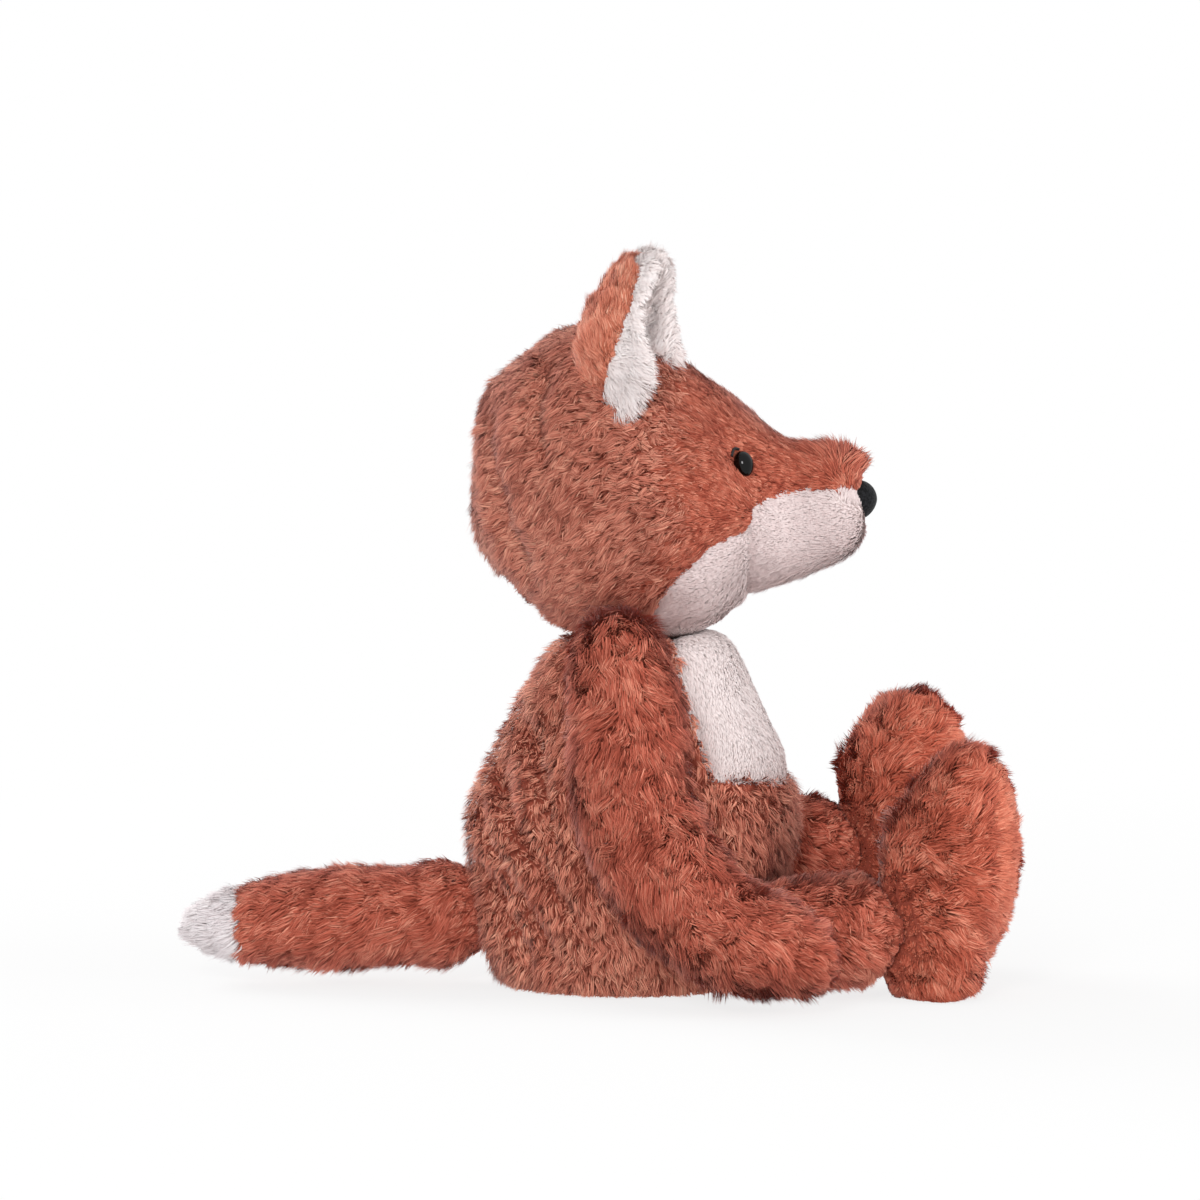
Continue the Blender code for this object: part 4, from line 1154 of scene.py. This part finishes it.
@dataclass
class Trim:
    """The nose, the eyes' domes and lash stitches, and what is hidden behind them."""

    eye_size: tuple[float, float, float] = (0.0036, 0.0047, 0.0034)
    eye_sunk: float = 0.0032
    nose_length: float = 0.0135
    lash_radius: float = 0.00055
    lash_steps: tuple = ((-0.0062, 0.0018), (-0.0050, 0.0040), (-0.0028, 0.0058), (-0.0002, 0.0064))

    def build(self) -> None:
        """Dress the CAD trim and make the nose and the lashes."""
        for side in SIDES:
            self._eye(side)
            self._finish(f"{side}_eye_washer", Finish.NYLON)
            self._lash(side)
        self._finish("nose_washer", Finish.NYLON)
        self._finish("seat_bean_bag", Finish.PELLETS)
        self._nose()

    @staticmethod
    def _finish(node: str, finish: Finish) -> None:
        """Give a CAD node a better material."""
        for holder in bpy.data.objects[node].material_slots:
            holder.material = finish.material

    @staticmethod
    def _ball(name: str, rings: int, place: Callable[[Vector], Vector], finish: Finish, slot: str,
              node: str) -> None:
        """Shape a smooth piece from a ball and let it stand for a CAD node of the head.

        Args:
            name: The piece's name.
            rings: The ball's rings.
            place: Where each point of a ball of radius 1 goes.
            finish: The piece's material.
            slot: The record's material slot; not used.
            node: The CAD node that it stands for.
        """
        bpy.ops.mesh.primitive_uv_sphere_add(segments=48, ring_count=rings, radius=1.0)
        ball = bpy.context.object
        ball.name = ball.data.name = name
        for vertex in ball.data.vertices:
            vertex.co = place(vertex.co.copy())
        ball.data.shade_smooth()
        ball.data.materials.append(finish.material)
        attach(ball, "head")
        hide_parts(node)
        LOG.info("%s on head", name)

    def _eye(self, side: str) -> None:
        """Turn the eye's dome, smooth and oval, onto its line."""
        crown, facing = eye_line(side)
        turn = facing.to_track_quat("Z", "Y").to_matrix()
        middle, size = crown - facing * self.eye_sunk, Vector(self.eye_size)
        self._ball(f"{side}_eye_dome", 32, lambda point: middle + turn @ (point * size),
                   Finish.EYE, "eye_black", f"{side}_eye")

    def _nose(self) -> None:
        """Shape the flocked nose: broad above, narrower below."""
        low, high = (Vector(corner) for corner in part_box("nose"))
        size = Vector((self.nose_length, high.y - low.y, high.z - low.z))
        centre = Vector((high.x - size.x / 2.0, 0.0, (low.z + high.z) / 2.0))

        def place(point: Vector) -> Vector:
            """Narrow the lower half and size the ball."""
            below = max(0.0, -point.z)
            narrow = Vector((1.0 - 0.12 * below, 1.0 - 0.22 * below ** 1.2, 1.0))
            return centre + point * narrow * size / 2.0

        self._ball("nose_flock", 28, place, Finish.NOSE, "nose_black", "nose")

    def _lash(self, side: str) -> None:
        """Sew the short black lash line behind and above an eye."""
        eye = eye_line(side)[0]
        tree = cad_tree("head_cover")
        curve = bpy.data.curves.new(f"{side}_lash", "CURVE")
        curve.dimensions = "3D"
        curve.bevel_depth = self.lash_radius
        curve.bevel_resolution = 3
        curve.use_fill_caps = True
        spline = curve.splines.new("NURBS")
        spline.points.add(len(self.lash_steps) - 1)
        for point, (back, up) in zip(spline.points, self.lash_steps):
            spot, normal, _, _ = tree.find_nearest(eye + Vector((back, 0.0, up)))
            point.co = (*(spot + normal * 0.0002), 1.0)
        spline.use_endpoint_u = True
        spline.order_u = 3
        lash = add_object(f"{side}_lash", curve)
        only(lash)
        bpy.ops.object.convert(target="MESH")
        lash.data.materials.clear()
        lash.data.materials.append(Finish.LASH.material)
        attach(lash, "head")
        LOG.info("%s_lash on head", side)


# ---------------- studio


@dataclass
class Studio:
    """The pale floor, the soft lights and the camera at the photograph's view."""

    lights: tuple = (
        ("key_light", (-0.35, -1.80, 0.90), 0.6, 17.0),
        ("fill_light", (1.75, -0.55, 0.60), 1.3, 19.0),
        ("rear_light", (-1.3, 1.20, 1.0), 1.3, 24.0),
    )
    target: tuple[float, float, float] = (-0.0072, 0.0, 0.1387)
    distance: float = 2.0
    elevation: float = math.radians(4.0)
    frame_width: float = 0.432
    nearest: float = 0.05
    farthest: float = 20.0
    ambient: float = 0.55
    floor_glow: float = 0.78
    floor_rise: float = 0.30
    bounce: float = 0.6

    def build(self) -> None:
        """Set the colour management, the world, the floor, the lights and the camera."""
        bpy.context.scene.view_settings.view_transform = "Standard"
        self._world()
        self._floor()
        for name, place, size, watts in self.lights:
            self._light(name, Vector(place), size, watts)
        self._camera()

    def _world(self) -> None:
        """White where it is seen and a plain soft grey where it lights."""
        world = bpy.data.worlds.new("studio")
        bpy.context.scene.world = world
        graph = Graph(world)
        strength = self._seen(graph) * (1.0 - self.ambient) + self.ambient
        sky = graph.node("ShaderNodeBackground", None, WHITE, strength)
        graph.node("ShaderNodeOutputWorld", None, sky)

    @staticmethod
    def _seen(graph: Graph) -> Value:
        """1 for the camera's rays, and for those mirrored or passed on by shiny pieces."""
        ray = graph.node("ShaderNodeLightPath")
        camera, glossy, through = (ray.sibling(f"Is {kind} Ray")
                                   for kind in ("Camera", "Glossy", "Transmission"))
        return (camera + glossy + through).clamped()

    def _floor(self) -> None:
        """A wide pale floor, white where it is seen far off, that keeps a faint shadow."""
        bpy.ops.mesh.primitive_plane_add(size=14.0)
        floor = bpy.context.object
        floor.name = "studio_floor"
        finish = bpy.data.materials.new("studio_floor")
        graph = Graph(finish)
        matt = graph.node("ShaderNodeBsdfDiffuse", None, (0.86, 0.86, 0.86, 1.0))
        glow = graph.node("ShaderNodeEmission", None, WHITE, 1.0)
        place = graph.node("ShaderNodeTexCoord", None, out="Object")
        far = graph.node("ShaderNodeVectorMath", {"operation": "LENGTH"}, place, out="Value")
        seen = self._seen(graph)
        share = ((far * self.floor_rise + self.floor_glow).clamped() * seen
                 + (1.0 - seen) * self.bounce)
        both_looks = graph.node("ShaderNodeMixShader", None, share, matt, glow)
        graph.node("ShaderNodeOutputMaterial", None, both_looks)
        floor.data.materials.append(finish)

    def _light(self, name: str, place: Vector, size: float, watts: float) -> None:
        """One soft box aimed at the fox; only the key light is mirrored in shiny pieces."""
        lamp = bpy.data.lights.new(name, "AREA")
        lamp.shape = "DISK"
        lamp.size = size
        lamp.energy = watts
        holder = add_object(name, lamp)
        holder.location = place
        holder.rotation_euler = (Vector(self.target) - place).to_track_quat("-Z", "Y").to_euler()
        holder.visible_glossy = name == "key_light"

    def _camera(self) -> None:
        """The camera at the photograph's angle and framing."""
        lens = bpy.data.cameras.new("photo_camera")
        lens.sensor_width = 36.0
        lens.lens = lens.sensor_width * self.distance / self.frame_width
        lens.clip_start = self.nearest
        lens.clip_end = self.farthest
        camera = add_object("photo_camera", lens)
        away = Vector((0.0, -math.cos(self.elevation), math.sin(self.elevation)))
        camera.location = Vector(self.target) + away * self.distance
        camera.rotation_euler = (math.pi / 2.0 - self.elevation, 0.0, 0.0)
        bpy.context.scene.camera = camera


def main() -> None:
    """Load the frame, note its node count, and build the fox and the studio."""
    logging.basicConfig(level=logging.INFO, format="%(name)s: %(message)s")
    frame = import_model()
    LOG.info("frame has %d nodes", len(frame["nodes"]))
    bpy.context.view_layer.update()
    Studio().build()
    Trim().build()
    Torso().build()
    Head().build()
    for side in SIDES:
        Ear(side).build()
        Arm(side).build()
        Leg(side).build()
    Tail().build()


if __name__ == "__main__":
    main()
